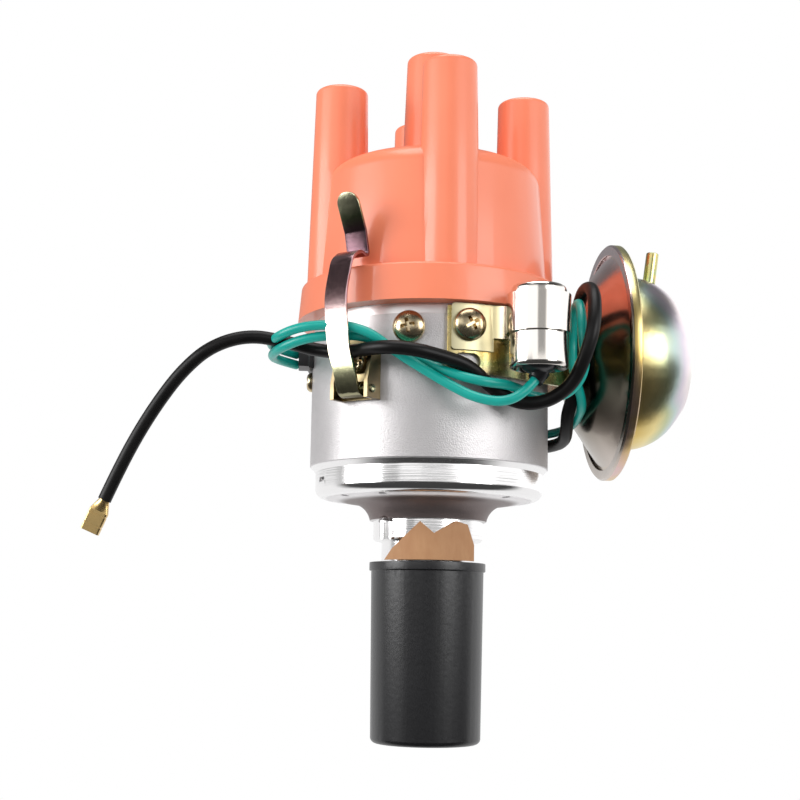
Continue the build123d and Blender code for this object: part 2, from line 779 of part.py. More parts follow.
# Moving breaker plate with the post that the vacuum unit pulls
moving_plate_z = ledge_z + plate_t + moving_plate_gap
point_z = moving_plate_z + plate_t
unit_along = Vector(*polar(1, unit_turn), 0)
unit_across = Vector(0, 0, 1).cross(unit_along)
pull_at = unit_across * pull_post_offset
with BuildPart() as breaker_plate:
    with BuildSketch(Plane.XY.offset(moving_plate_z)):
        Circle(moving_plate_r)
        Circle(collar_r + bearing_gap, mode=Mode.SUBTRACT)
        with Locations((-moving_plate_r, 0)):
            Circle(moving_plate_notch_r, mode=Mode.SUBTRACT)
    extrude(amount=plate_t)
    with BuildSketch(Plane.XY.offset(point_z)):
        with Locations((pull_at.X, pull_at.Y)):
            Circle(pull_post_r)
    extrude(amount=unit_z + rod_t - point_z)
    with BuildSketch(Plane.XY.offset(point_z)):
        with Locations((arm_pivot_x, arm_pivot_y)):
            Circle(arm_pivot_r)
    extrude(amount=arm_pivot_h)
finish(breaker_plate.part, "breaker_plate")

# Fixed contact: foot on the moving plate, upright tab and contact button
contact_x = arm_pivot_x - arm_reach
arm_face_y = arm_pivot_y + arm_t / 2
button_y = arm_face_y + contact_t + contact_open
with BuildPart() as fixed_contact:
    with BuildSketch(Plane.XY.offset(point_z)):
        with Locations((contact_x, button_y + contact_t + point_foot_w / 2)):
            Rectangle(point_post_w, point_foot_w)
    extrude(amount=point_foot_t)
    with BuildSketch(Plane.XY.offset(point_z)):
        with Locations((contact_x, button_y + contact_t + point_post_t / 2)):
            Rectangle(point_post_w, point_post_t)
    extrude(amount=arm_lift + arm_h + point_foot_t)
    with BuildSketch(Plane.XZ.offset(-(button_y + contact_t))):
        with Locations((contact_x, point_z + arm_lift + arm_h / 2)):
            Circle(contact_r)
    extrude(amount=contact_t)
finish(fixed_contact.part, "fixed_contact")

# Breaker arm with its pivot boss, rubbing heel and contact button
with BuildPart() as breaker_arm:
    with BuildSketch(Plane.XY.offset(point_z + arm_lift)):
        with Locations((arm_pivot_x - arm_reach / 2, arm_pivot_y)):
            Rectangle(arm_reach + arm_h, arm_t)
        with Locations((arm_pivot_x, arm_pivot_y)):
            Circle(arm_boss_r)
            Circle(arm_pivot_r + bearing_gap, mode=Mode.SUBTRACT)
    extrude(amount=arm_h)
    with BuildSketch(Plane.XY.offset(point_z + arm_lift)):
        with BuildLine():
            tip_y = -cam_peak_r - heel_gap
            Polyline((-heel_w, arm_face_y), (heel_w, arm_face_y), (heel_w / 2, tip_y),
                     (-heel_w / 2, tip_y), (-heel_w, arm_face_y))
        make_face()
    extrude(amount=arm_h)
    with BuildSketch(Plane.XZ.offset(-(arm_face_y + contact_t))):
        with Locations((contact_x, point_z + arm_lift + arm_h / 2)):
            Circle(contact_r)
    extrude(amount=contact_t)
finish(breaker_arm.part, "breaker_arm")

# Leaf spring behind the breaker arm, held by its insulated post
with BuildPart() as arm_spring:
    with BuildSketch(Plane.XY.offset(point_z + arm_lift)):
        with BuildLine():
            start = (contact_x + arm_h, arm_pivot_y - arm_t / 2 - arm_spring_t)
            rear = (arm_pivot_x - arm_h, arm_pivot_y - arm_t / 2 - arm_lift)
            ThreePointArc(start, ((start[0] + rear[0]) / 2, start[1] - arm_spring_t), rear)
        trace(line_width=arm_spring_t)
    extrude(amount=arm_h)
finish(arm_spring.part, "arm_spring")

with BuildPart() as spring_post:
    with BuildSketch(Plane.XY.offset(point_z)):
        with Locations((arm_pivot_x - arm_h, arm_pivot_y - arm_t / 2 - 2 * arm_lift)):
            Rectangle(arm_h, 2 * arm_lift - arm_spring_t)
    extrude(amount=arm_lift + arm_h)
finish(spring_post.part, "spring_post")

# Rotor: moulded hub over the cam sleeve, long neck and arm
with BuildPart() as rotor_arm:
    with BuildSketch(Plane.XZ):
        with BuildLine():
            Polyline((neck_sleeve_r + seat_gap, rotor_z), (rotor_hub_r, rotor_z),
                     (rotor_hub_r, rotor_z + rotor_skirt_h),
                     (rotor_neck_r, rotor_z + rotor_skirt_h + overrun),
                     (rotor_neck_r, rotor_arm_z + rotor_arm_t), (0, rotor_arm_z + rotor_arm_t),
                     (0, sleeve_top_z + seat_gap), (neck_sleeve_r + seat_gap, sleeve_top_z + seat_gap),
                     (neck_sleeve_r + seat_gap, rotor_z))
        make_face()
    revolve(axis=Axis.Z)
    with BuildSketch(Plane.XY.offset(rotor_arm_z).rotated((0, 0, tower_start))):
        with BuildLine():
            Polyline((-rotor_arm_w / 2, -rotor_arm_w / 2), (rotor_reach, -blade_w / 2 - blade_t),
                     (rotor_reach, blade_w / 2 + blade_t), (-rotor_arm_w / 2, rotor_arm_w / 2),
                     (-rotor_arm_w / 2, -rotor_arm_w / 2))
        make_face()
    extrude(amount=rotor_arm_t)
finish(rotor_arm.part, "rotor_arm")

with BuildPart() as rotor_blade:
    with BuildSketch(Plane.XY.offset(rotor_arm_z + rotor_arm_t).rotated((0, 0, tower_start))):
        with Locations((blade_reach / 2, 0)):
            Rectangle(blade_reach, blade_w)
        Circle(blade_w / 2)
        Circle(blade_reach, mode=Mode.INTERSECT)
    extrude(amount=blade_t)
finish(rotor_blade.part, "rotor_blade")

# One tower form for the cap's four outlets and one for its middle one
with BuildPart() as outer_tower:
    with BuildSketch(Plane.XZ):
        with BuildLine():
            Polyline((0, skirt_top_z - skirt_edge), (tower_foot_r, skirt_top_z - skirt_edge),
                     (tower_top_r, tower_top_z), (0, tower_top_z), (0, skirt_top_z - skirt_edge))
        make_face()
    revolve(axis=Axis.Z)
    fillet(outer_tower.edges().group_by(Axis.Z)[-1], radius=tower_edge)

with BuildPart() as middle_tower:
    with BuildSketch(Plane.XZ):
        with BuildLine():
            Polyline((0, cap_top_z - overrun), (middle_tower_foot_r, cap_top_z - overrun),
                     (middle_tower_r, middle_tower_z), (0, middle_tower_z),
                     (0, cap_top_z - overrun))
        make_face()
    revolve(axis=Axis.Z)
    fillet(middle_tower.edges().group_by(Axis.Z)[-1], radius=tower_edge)

# Tool for one blind socket: a straight bore with a wider mouth, its foot at the origin
with BuildPart() as socket_tool:
    with BuildSketch(Plane.XZ):
        with BuildLine():
            Polyline((0, 0), (socket_r, 0), (socket_r, socket_depth - socket_mouth_h),
                     (socket_mouth_r, socket_depth), (socket_mouth_r, socket_depth + overrun),
                     (0, socket_depth + overrun), (0, 0))
        make_face()
    revolve(axis=Axis.Z)

# Cap: skirt, barrel and towers, the room inside, the sockets and the brush holder
socket_foot_z = tower_top_z - socket_depth
middle_socket_foot_z = middle_tower_z - socket_depth
with BuildPart() as distributor_cap:
    with BuildSketch(Plane.XZ):
        with BuildLine():
            Polyline((0, band_top_z), (skirt_foot_r, band_top_z),
                     (skirt_top_r, skirt_top_z), (barrel_foot_r, skirt_top_z),
                     (barrel_top_r, cap_top_z), (0, cap_top_z), (0, band_top_z))
        make_face()
    revolve(axis=Axis.Z)
    rims = distributor_cap.edges().filter_by(GeomType.CIRCLE)
    fillet(rims.group_by(Axis.Z)[-1], radius=cap_shoulder)
    rims = distributor_cap.edges().filter_by(GeomType.CIRCLE)
    skirt_rim = rims.filter_by(lambda edge: abs(edge.radius - skirt_top_r) < seat_gap)
    fillet(skirt_rim, radius=skirt_edge)
    with PolarLocations(tower_offset, tower_count, start_angle=tower_start):
        add(outer_tower.part)
    add(middle_tower.part)
    with BuildSketch(Plane.XZ):
        with BuildLine():
            Polyline((0, band_top_z - overrun), (spigot_r + cap_seat_clear, band_top_z - overrun),
                     (spigot_r + cap_seat_clear, band_top_z + spigot_h + cap_seat_clear),
                     (cap_room_foot_r, cap_room_foot_z), (cap_room_top_r, cap_room_top_z),
                     (0, cap_room_top_z), (0, band_top_z - overrun))
        make_face()
    revolve(axis=Axis.Z, mode=Mode.SUBTRACT)
    with BuildSketch(Plane.XY.offset(holder_foot_z)):
        Circle(holder_r)
    extrude(amount=cap_room_top_z + overrun - holder_foot_z)
    with PolarLocations(tower_offset, tower_count, start_angle=tower_start):
        add(socket_tool.part.moved(Location((0, 0, socket_foot_z))), mode=Mode.SUBTRACT)
    add(socket_tool.part.moved(Location((0, 0, middle_socket_foot_z))), mode=Mode.SUBTRACT)
    with BuildSketch(Plane.XY.offset(electrode_foot_z)):
        with PolarLocations(tower_offset, tower_count, start_angle=tower_start):
            Circle(electrode_r + seat_gap)
    extrude(amount=socket_foot_z + overrun - electrode_foot_z, mode=Mode.SUBTRACT)
    with BuildSketch(Plane.XY.offset(holder_foot_z - overrun)):
        Circle(brush_r + bearing_gap)
    extrude(amount=middle_bolt_foot_z - holder_foot_z + overrun, mode=Mode.SUBTRACT)
    with BuildSketch(Plane.XY.offset(middle_bolt_foot_z - overrun)):
        Circle(middle_bolt_r + seat_gap)
    extrude(amount=middle_socket_foot_z - middle_bolt_foot_z + 2 * overrun, mode=Mode.SUBTRACT)
finish(distributor_cap.part, "distributor_cap")

# Outer electrodes: the rod beside the rotor's path and the stud in the socket
with BuildPart() as outer_electrodes:
    with PolarLocations(tower_offset, tower_count, start_angle=tower_start):
        Cylinder(electrode_r, socket_foot_z - electrode_foot_z,
                 align=(Align.CENTER, Align.CENTER, Align.MIN))
finish(outer_electrodes.part.moved(Location((0, 0, electrode_foot_z))), "outer_electrodes")

# Middle electrode, carbon brush and the spring between them
with BuildPart() as middle_electrode:
    with BuildSketch(Plane.XY.offset(middle_bolt_foot_z)):
        Circle(middle_bolt_r)
    extrude(amount=middle_socket_foot_z - middle_bolt_foot_z)
finish(middle_electrode.part, "middle_electrode")

brush_foot_z = rotor_arm_z + rotor_arm_t + blade_t + brush_gap
with BuildPart() as carbon_brush:
    with BuildSketch(Plane.XY.offset(brush_foot_z)):
        Circle(brush_r)
    extrude(amount=brush_len)
    fillet(carbon_brush.edges().group_by(Axis.Z)[0], radius=brush_edge)
finish(carbon_brush.part, "carbon_brush")

with BuildPart() as brush_spring:
    with BuildSketch(Plane.XY.offset(brush_foot_z + brush_len)):
        Circle(brush_spring_r)
        Circle(brush_spring_r - spring_wire_r, mode=Mode.SUBTRACT)
    extrude(amount=middle_bolt_foot_z - brush_foot_z - brush_len)
finish(brush_spring.part, "brush_spring")


# Spring clips with their pivot pins and brackets
def clip_point(out, height):
    """A point of the clip's side view, given from the housing's wall."""
    return body_r + out, height


for number, azimuth in enumerate(clip_azimuths):
    side = ("front", "rear")[number]
    eye_r = clip_pin_r + bearing_gap + clip_eye_wall
    eye = clip_point(clip_pin_out, clip_pin_z)
    with BuildPart() as cap_clip:
        with BuildSketch(radial_plane(azimuth)):
            with BuildLine():
                bow = Spline(clip_point(clip_pin_out, clip_pin_z - eye_r + clip_t / 2),
                             *[clip_point(out, height) for out, height in clip_bow],
                             tangents=((1, clip_foot_lean_share),
                                       (clip_shoulder_out - clip_bow[-1][0],
                                        clip_shoulder_z - clip_bow[-1][1])))
                FilletPolyline(bow @ 1, clip_point(clip_shoulder_out, clip_shoulder_z),
                               clip_point(clip_arch_out, clip_arch_top_z),
                               clip_point(clip_hook_out, clip_hook_z),
                               clip_point(tab_bend_out, tab_bend_z),
                               clip_point(tab_tip_out, tab_tip_z),
                               radius=[clip_shoulder_r, clip_arch_r, clip_hook_r, clip_arch_r])
            trace(line_width=clip_t)
            with Locations(eye):
                Circle(eye_r)
                Circle(clip_pin_r + bearing_gap, mode=Mode.SUBTRACT)
        extrude(amount=clip_w / 2, both=True)
        tip_corners = cap_clip.edges().filter_by(
            lambda edge: abs(edge.length - clip_t) < seat_gap and edge.center().Z > tab_bend_z)
        fillet(tip_corners, radius=clip_w / 2 - seat_gap)
    finish(cap_clip.part, "cap_clip_" + side)

    with BuildPart() as clip_bracket:
        with BuildSketch(radial_plane(azimuth)):
            with BuildLine():
                Polyline(clip_point(-overrun, bracket_foot_z), clip_point(bracket_ear_out, bracket_foot_z),
                         clip_point(bracket_ear_out, clip_pin_z + eye_r),
                         clip_point(bracket_ear_top, bracket_top_z),
                         clip_point(-overrun, bracket_top_z), clip_point(-overrun, bracket_foot_z))
            make_face()
        extrude(amount=bracket_w / 2, both=True)
        with BuildSketch(radial_plane(azimuth)):
            with Locations(clip_point(bracket_t + bracket_ear_out, (bracket_foot_z + bracket_top_z) / 2)):
                Rectangle(2 * bracket_ear_out, 2 * (bracket_top_z - bracket_foot_z))
        extrude(amount=bracket_w / 2 - bracket_t, both=True, mode=Mode.SUBTRACT)
        with BuildSketch(Plane.XY.offset(bracket_foot_z - overrun)):
            Circle(body_r + seat_gap)
        extrude(amount=bracket_top_z - bracket_foot_z + 2 * overrun, mode=Mode.SUBTRACT)
        with BuildSketch(face_plane(azimuth, body_r - overrun, bracket_screw_z)):
            Circle(screw_r + seat_gap)
        extrude(amount=2 * overrun, mode=Mode.SUBTRACT)
        with BuildSketch(radial_plane(azimuth)):
            with Locations(eye):
                Circle(clip_pin_r)
        extrude(amount=bracket_w, both=True, mode=Mode.SUBTRACT)
    finish(clip_bracket.part, "clip_bracket_" + side)

with BuildPart() as clip_pins:
    for azimuth in clip_azimuths:
        with BuildSketch(radial_plane(azimuth)):
            with Locations(clip_point(clip_pin_out, clip_pin_z)):
                Circle(clip_pin_r - seat_gap)
        extrude(amount=bracket_w / 2 + clip_pin_proud, both=True)
finish(clip_pins.part, "clip_pins")


def make_screw(azimuth, radius, height, bite, head, tall):
    """A cross-recess screw that stands square to the housing's wall."""
    with BuildPart() as screw:
        with BuildSketch(Plane.XZ):
            with BuildLine():
                Polyline((0, -bite), (screw_r, -bite), (screw_r, 0), (head, 0),
                         (head, tall - screw_edge))
                ThreePointArc((head, tall - screw_edge),
                              (head - screw_mid_edge, tall - screw_mid_edge), (head - screw_edge, tall))
                Polyline((head - screw_edge, tall), (0, tall), (0, -bite))
            make_face()
        revolve(axis=Axis.Z)
        with BuildSketch(Plane.XY.offset(tall - cross_depth)):
            Rectangle(cross_l, cross_w)
            Rectangle(cross_w, cross_l)
        extrude(amount=cross_depth + overrun, mode=Mode.SUBTRACT)
    return screw.part.moved(face_plane(azimuth, radius, height).location)


bracket_face_r = body_r + bracket_t
strip_in_r = body_r + seat_gap
strip_out_r = strip_in_r + strip_t
tab_in_r = strip_out_r + seat_gap
tab_out_r = tab_in_r + strap_t
front_screw = make_screw(front_screw_azimuth, body_r + seat_gap, front_screw_z, screw_bite,
                         screw_head_r, screw_head_h)
finish(front_screw, "front_screw")
strap_screw = make_screw(strap_screw_azimuth, tab_out_r + seat_gap, strap_screw_z,
                         screw_bite + tab_out_r - body_r, screw_head_r, screw_head_h)
finish(strap_screw, "strap_screw")
with BuildPart() as bracket_screws:
    for azimuth in clip_azimuths:
        add(make_screw(azimuth, bracket_face_r + seat_gap, bracket_screw_z, screw_bite + bracket_t,
                       small_head_r, small_head_h))
finish(bracket_screws.part, "bracket_screws")
ground_screw = make_screw(ground_screw_azimuth, body_r + seat_gap, ground_screw_z, screw_bite,
                          ground_head_r, ground_head_h)
finish(ground_screw, "ground_screw")

# Vacuum unit: a plane through its axis, its x along the axis outwards and its y up
unit_origin = Vector(unit_x, unit_y, unit_z)
unit_plane = Plane(origin=unit_origin, x_dir=unit_along, z_dir=unit_along.cross(Vector(0, 0, 1)))
unit_axis = Axis(unit_origin, unit_along)
flange_in = membrane_t / 2
flange_out = flange_in + shell_t
crimp_in_r = rim_r - crimp_w

# Inner shell: flat flange, cone and the stepped hub on the bracket's plate
with BuildPart() as vacuum_inner_shell:
    with BuildSketch(unit_plane):
        with BuildLine():
            Polyline((-flange_in, crimp_in_r - seat_gap), (-flange_in, dish_r - shell_t),
                     (-dish_mid_depth + shell_t, dish_mid_r - shell_t / 2),
                     (-hub_step_depth + shell_t, hub_step_r - shell_t / 2),
                     (-hub_dish_depth + shell_t, hub_dish_r - shell_t),
                     (-hub_dish_depth + shell_t, rod_hole_r), (-hub_dish_depth, rod_hole_r),
                     (-hub_dish_depth, hub_dish_r), (-hub_step_depth, hub_step_r),
                     (-dish_mid_depth, dish_mid_r), (-flange_out, dish_r),
                     (-flange_out, crimp_in_r - seat_gap), (-flange_in, crimp_in_r - seat_gap))
        make_face()
    revolve(axis=unit_axis)
finish(vacuum_inner_shell.part, "vacuum_inner_shell")

# Outer shell: rounded bowl whose rim is crimped over the inner flange
bowl_points = [(along * bowl_depth, out * bowl_r) for along, out in bowl_round_shares]
bowl_face = (bowl_depth, bowl_face_share * bowl_r)
hollow_points = [(along - shell_t / 2, out - shell_t) for along, out in bowl_points]
hollow_face = (bowl_depth - shell_t, bowl_face_share * bowl_r - shell_t / 2)
lip_out = flange_out + seat_gap
nipple_lean_dir = (Vector(0, 0, 1) * cos(radians(nipple_lean))
                   + unit_along * sin(radians(nipple_lean)))
nipple_foot = unit_origin + unit_along * nipple_along + Vector(0, 0, nipple_root)
with BuildPart() as vacuum_outer_shell:
    with BuildSketch(unit_plane):
        with BuildLine():
            dome = Spline((flange_in, bowl_r), *bowl_points, bowl_face, tangents=((1, 0), (0, -1)))
            Polyline(dome @ 1, (bowl_depth, 0), (flange_in, 0), (flange_in, bowl_r))
        make_face()
    revolve(axis=unit_axis)
    with BuildSketch(unit_plane):
        with BuildLine():
            hollow = Spline((flange_in - overrun, bowl_r - shell_t), *hollow_points, hollow_face,
                            tangents=((1, 0), (0, -1)))
            Polyline(hollow @ 1, (bowl_depth - shell_t, 0), (flange_in - overrun, 0), hollow @ 0)
        make_face()
    revolve(axis=unit_axis, mode=Mode.SUBTRACT)
    with BuildSketch(unit_plane):
        with BuildLine():
            Polyline((flange_in, bowl_r - shell_t / 2), (flange_in, crimp_in_r),
                     (-lip_out, crimp_in_r), (-lip_out, dish_r + shell_t),
                     (-lip_out - shell_t / 2, dish_r + shell_t),
                     (-lip_out - shell_t / 2, rim_r - shell_t / 2),
                     (-lip_out, rim_r), (rim_half_t - shell_t / 2, rim_r),
                     (rim_half_t, rim_r - shell_t / 2), (rim_half_t, bowl_r - shell_t / 2),
                     (flange_in, bowl_r - shell_t / 2))
        make_face()
    revolve(axis=unit_axis)
    with BuildSketch(Plane(origin=nipple_foot, z_dir=nipple_lean_dir)):
        Circle(nipple_foot_r + seat_gap)
    extrude(amount=2 * overrun, both=True, mode=Mode.SUBTRACT)
finish(vacuum_outer_shell.part, "vacuum_outer_shell")

# Hose nipple, pressed into the bowl
with BuildPart() as hose_nipple:
    with BuildSketch(Plane(origin=nipple_foot - nipple_lean_dir * overrun, z_dir=nipple_lean_dir)):
        Circle(nipple_foot_r)
        Circle(nipple_bore_r, mode=Mode.SUBTRACT)
    extrude(amount=overrun + nipple_step)
    with BuildSketch(Plane(origin=nipple_foot + nipple_lean_dir * nipple_step, z_dir=nipple_lean_dir)):
        Circle(nipple_r)
        Circle(nipple_bore_r, mode=Mode.SUBTRACT)
    extrude(amount=nipple_h / cos(radians(nipple_lean)) - nipple_step)
    fillet(hose_nipple.edges().group_by(Axis.Z)[-1], radius=nipple_edge)
finish(hose_nipple.part, "hose_nipple")

# Rubber diaphragm, clamped between the two flanges
with BuildPart() as diaphragm:
    with BuildSketch(Plane(origin=unit_origin - unit_along * flange_in, z_dir=unit_along)):
        Circle(crimp_in_r - body_gap)
        Circle(piston_r + bearing_gap, mode=Mode.SUBTRACT)
    extrude(amount=membrane_t)
finish(diaphragm.part, "diaphragm")

# Pull rod: the eye round the plate's post, the crank, the strip and the diaphragm's plate
eye_at = (pull_at.X, pull_at.Y)
crank_from = pull_at + unit_along * rod_crank_along
crank_to = unit_origin - unit_along * (unit_x - rod_crank_x)
with BuildPart() as vacuum_rod:
    with BuildSketch(Plane.XY.offset(unit_z - rod_t / 2)):
        with BuildLine():
            Polyline(eye_at, (crank_from.X, crank_from.Y), (crank_to.X, crank_to.Y), (unit_x, unit_y))
        trace(line_width=rod_w)
        with Locations(eye_at):
            Circle(rod_eye_r)
        with Locations(Location((*eye_at, 0), (0, 0, unit_turn + quarter_turn))):
            SlotOverall(2 * (pull_post_r + body_gap), 2 * (pull_post_r + bearing_gap), mode=Mode.SUBTRACT)
    extrude(amount=rod_t)
    with BuildSketch(Plane(origin=unit_origin - unit_along * (piston_t / 2), z_dir=unit_along)):
        Circle(piston_r)
    extrude(amount=piston_t)
finish(vacuum_rod.part, "vacuum_rod")

# Diaphragm spring, between the plate and the bowl's face
with BuildPart() as diaphragm_spring:
    with BuildSketch(Plane(origin=unit_origin + unit_along * (piston_t / 2), z_dir=unit_along)):
        Circle(unit_spring_r)
        Circle(unit_spring_r - 2 * spring_wire_r, mode=Mode.SUBTRACT)
    extrude(amount=bowl_depth - shell_t - piston_t / 2)
finish(diaphragm_spring.part, "diaphragm_spring")

# Bracket of the vacuum unit: strip round the housing, wing and hub plate
strip_mid_r = strip_in_r + strip_t / 2
hub_face = unit_origin - unit_along * (hub_dish_depth + seat_gap + strip_t / 2)
wing_end = hub_face - unit_across * (hub_face.Y - wing_y)
plate_end = hub_face + unit_across * (hub_plate_end_y - hub_face.Y)
wing_x = strip_mid_r * cos(radians(strip_end_azimuth))
with BuildPart() as unit_bracket:
    with BuildSketch(Plane.XY.offset(strip_foot_z)):
        with BuildLine():
            wrap = CenterArc((0, 0), strip_mid_r, strip_start_azimuth,
                             strip_end_azimuth - strip_start_azimuth)
            Polyline(wrap @ 1, (wing_end.X, wing_end.Y), (plate_end.X, plate_end.Y))
        trace(line_width=strip_t)
    extrude(amount=hub_plate_top_z - strip_foot_z)
    with BuildSketch(Plane.XZ.offset(-body_r)):
        with BuildLine():
            Polyline((-overrun, strip_top_z), (wing_x, strip_top_z),
                     (wing_end.X - strip_t, hub_plate_top_z), (wing_end.X, hub_plate_top_z + overrun),
                     (-overrun, hub_plate_top_z + overrun), (-overrun, strip_top_z))
        make_face()
    extrude(amount=2 * body_r, mode=Mode.SUBTRACT)
    with BuildSketch(face_plane(strip_slot_azimuth, body_r - overrun, strip_slot_z)):
        SlotOverall(strip_slot_l, strip_slot_w)
    extrude(amount=2 * overrun + strip_t, mode=Mode.SUBTRACT)
    with BuildSketch(face_plane(strap_screw_azimuth, body_r - overrun, strap_screw_z)):
        Circle(screw_r + seat_gap)
    extrude(amount=2 * overrun + strip_t, mode=Mode.SUBTRACT)
    with BuildSketch(Plane(origin=hub_face - unit_along * overrun, z_dir=unit_along)):
        Circle(rod_hole_r)
    extrude(amount=2 * overrun, mode=Mode.SUBTRACT)
    strip_corners = unit_bracket.edges().filter_by(
        lambda edge: abs(edge.length - strip_t) < seat_gap
        and degrees(atan2(edge.center().Y, edge.center().X)) < strip_start_azimuth + 1)
    fillet(strip_corners, radius=strip_corner)
finish(unit_bracket.part, "unit_bracket")

# Condenser: drawn can with a stepped top and a recessed foot, and its rubber plug
can_location = Location((*polar(can_offset, can_azimuth), 0))
can_step_z = strap_top_z + body_gap
with BuildPart() as condenser_can:
    with BuildSketch(Plane.XZ):
        with BuildLine():
            Polyline((0, can_foot_z + can_recess + plug_h + seat_gap),
                     (can_r - can_lip, can_foot_z + can_recess + plug_h + seat_gap),
                     (can_r - can_lip, can_foot_z), (can_r, can_foot_z), (can_r, can_step_z),
                     (can_r - can_top_step, can_step_z + can_top_step),
                     (can_r - can_top_step, can_top_z), (0, can_top_z),
                     (0, can_foot_z + can_recess + plug_h + seat_gap))
        make_face()
    revolve(axis=Axis.Z)
    fillet(condenser_can.edges().group_by(Axis.Z)[-1], radius=can_edge)
    fillet(condenser_can.edges().group_by(Axis.Z)[0], radius=can_lip_edge)
finish(condenser_can.part.moved(can_location), "condenser_can")

# The plug's nose points along the start of the lead
plug_foot_z = can_foot_z + can_recess
nose_at = Vector(*condenser_lead_points[0]) - can_location.position
nose_dir = (Vector(*condenser_lead_points[1]) - Vector(*condenser_lead_points[0])).normalized()
with BuildPart() as condenser_plug:
    with BuildSketch(Plane.XZ):
        with BuildLine():
            Polyline((0, plug_foot_z + plug_h), (can_r - can_lip - seat_gap, plug_foot_z + plug_h),
                     (can_r - can_lip - seat_gap, plug_foot_z), (plug_r, plug_foot_z),
                     (plug_shoulder_r, can_foot_z), (plug_nose_r, can_foot_z - plug_drop),
                     (0, can_foot_z - plug_drop), (0, plug_foot_z + plug_h))
        make_face()
    revolve(axis=Axis.Z)
    with BuildSketch(Plane(origin=nose_at - nose_dir * seat_gap, z_dir=nose_dir)):
        Circle(plug_nose_r)
    extrude(amount=-plug_nose_l)
finish(condenser_plug.part.moved(can_location), "condenser_plug")

# Strap round the can with its tab under the strap screw
strap_mid_r = can_r + seat_gap + strap_t / 2
tab_mid_r = (tab_in_r + tab_out_r) / 2
can_at = Vector(*polar(can_offset, can_azimuth))
web_from = Vector(*polar(tab_mid_r, tab_end_azimuth))
to_web = web_from - can_at
web_turn = degrees(atan2(to_web.Y, to_web.X)) - degrees(acos(strap_mid_r / to_web.length))
web_to = can_at + Vector(*polar(strap_mid_r, web_turn))
with BuildPart() as condenser_strap:
    with BuildSketch(Plane.XY.offset(strap_foot_z)):
        with Locations((can_at.X, can_at.Y)):
            Circle(can_r + seat_gap + strap_t)
            Circle(can_r + seat_gap, mode=Mode.SUBTRACT)
    extrude(amount=strap_top_z - strap_foot_z)
    with BuildSketch(Plane.XY.offset(strap_foot_z)):
        with BuildLine():
            Line((web_from.X, web_from.Y), (web_to.X, web_to.Y))
        trace(line_width=strap_t)
    extrude(amount=tab_top_z - strap_foot_z)
    with BuildSketch(Plane.XY.offset(tab_foot_z)):
        with BuildLine():
            CenterArc((0, 0), tab_mid_r, tab_start_azimuth, tab_end_azimuth - tab_start_azimuth)
        trace(line_width=strap_t)
    extrude(amount=tab_top_z - tab_foot_z)
    with BuildSketch(face_plane(strap_screw_azimuth, body_r, strap_screw_z)):
        Circle(screw_r + seat_gap)
    extrude(amount=2 * overrun, mode=Mode.SUBTRACT)
    tab_corners = condenser_strap.edges().filter_by(
        lambda edge: abs(edge.length - strap_t) < seat_gap
        and degrees(atan2(edge.center().Y, edge.center().X)) < tab_start_azimuth + 1)
    fillet(tab_corners, radius=tab_corner)
finish(condenser_strap.part, "condenser_strap")

# Terminal block through the housing's wall
with BuildPart() as terminal_block:
    with BuildSketch(face_plane(block_azimuth, body_r - overrun, block_z)):
        Rectangle(block_w + block_flange, block_h + block_flange)
    extrude(amount=overrun + block_flange)
    with BuildSketch(Plane.XY.offset(block_z - block_h)):
        Circle(body_r + seat_gap)
    extrude(amount=2 * block_h, mode=Mode.SUBTRACT)
    with BuildSketch(face_plane(block_azimuth, body_r - block_in, block_z)):
        Rectangle(block_w - 2 * seat_gap, block_h - 2 * seat_gap)
    extrude(amount=block_in + block_out)
finish(terminal_block.part, "terminal_block")

# Rubber elbow at the back of the housing's wall, one side turned towards the leads
with BuildPart() as lead_elbow:
    with BuildSketch(face_plane(elbow_azimuth, body_r - overrun, elbow_z)):
        Rectangle(elbow_w, elbow_h)
    extrude(amount=overrun + elbow_out)
    outward = Axis((0, 0, elbow_z), (*polar(1, elbow_azimuth), 0))
    fillet(lead_elbow.faces().sort_by(outward)[-1].edges(), radius=elbow_edge)
    with BuildSketch(Plane.XY.offset(elbow_z - elbow_h)):
        Circle(body_r + seat_gap)
    extrude(amount=2 * elbow_h, mode=Mode.SUBTRACT)
    with BuildSketch(face_plane(elbow_azimuth, lower_bore_r - overrun, elbow_z)):
        Circle(elbow_plug_r - seat_gap)
    extrude(amount=body_r - lower_bore_r + 2 * overrun)
finish(lead_elbow.part, "lead_elbow")

# Leads
make_lead(condenser_lead_points, thin_lead_d, "condenser_lead")
make_lead(points_lead_points, thin_lead_d, "points_lead")
make_lead(coil_lead_points, coil_lead_d, "coil_lead")

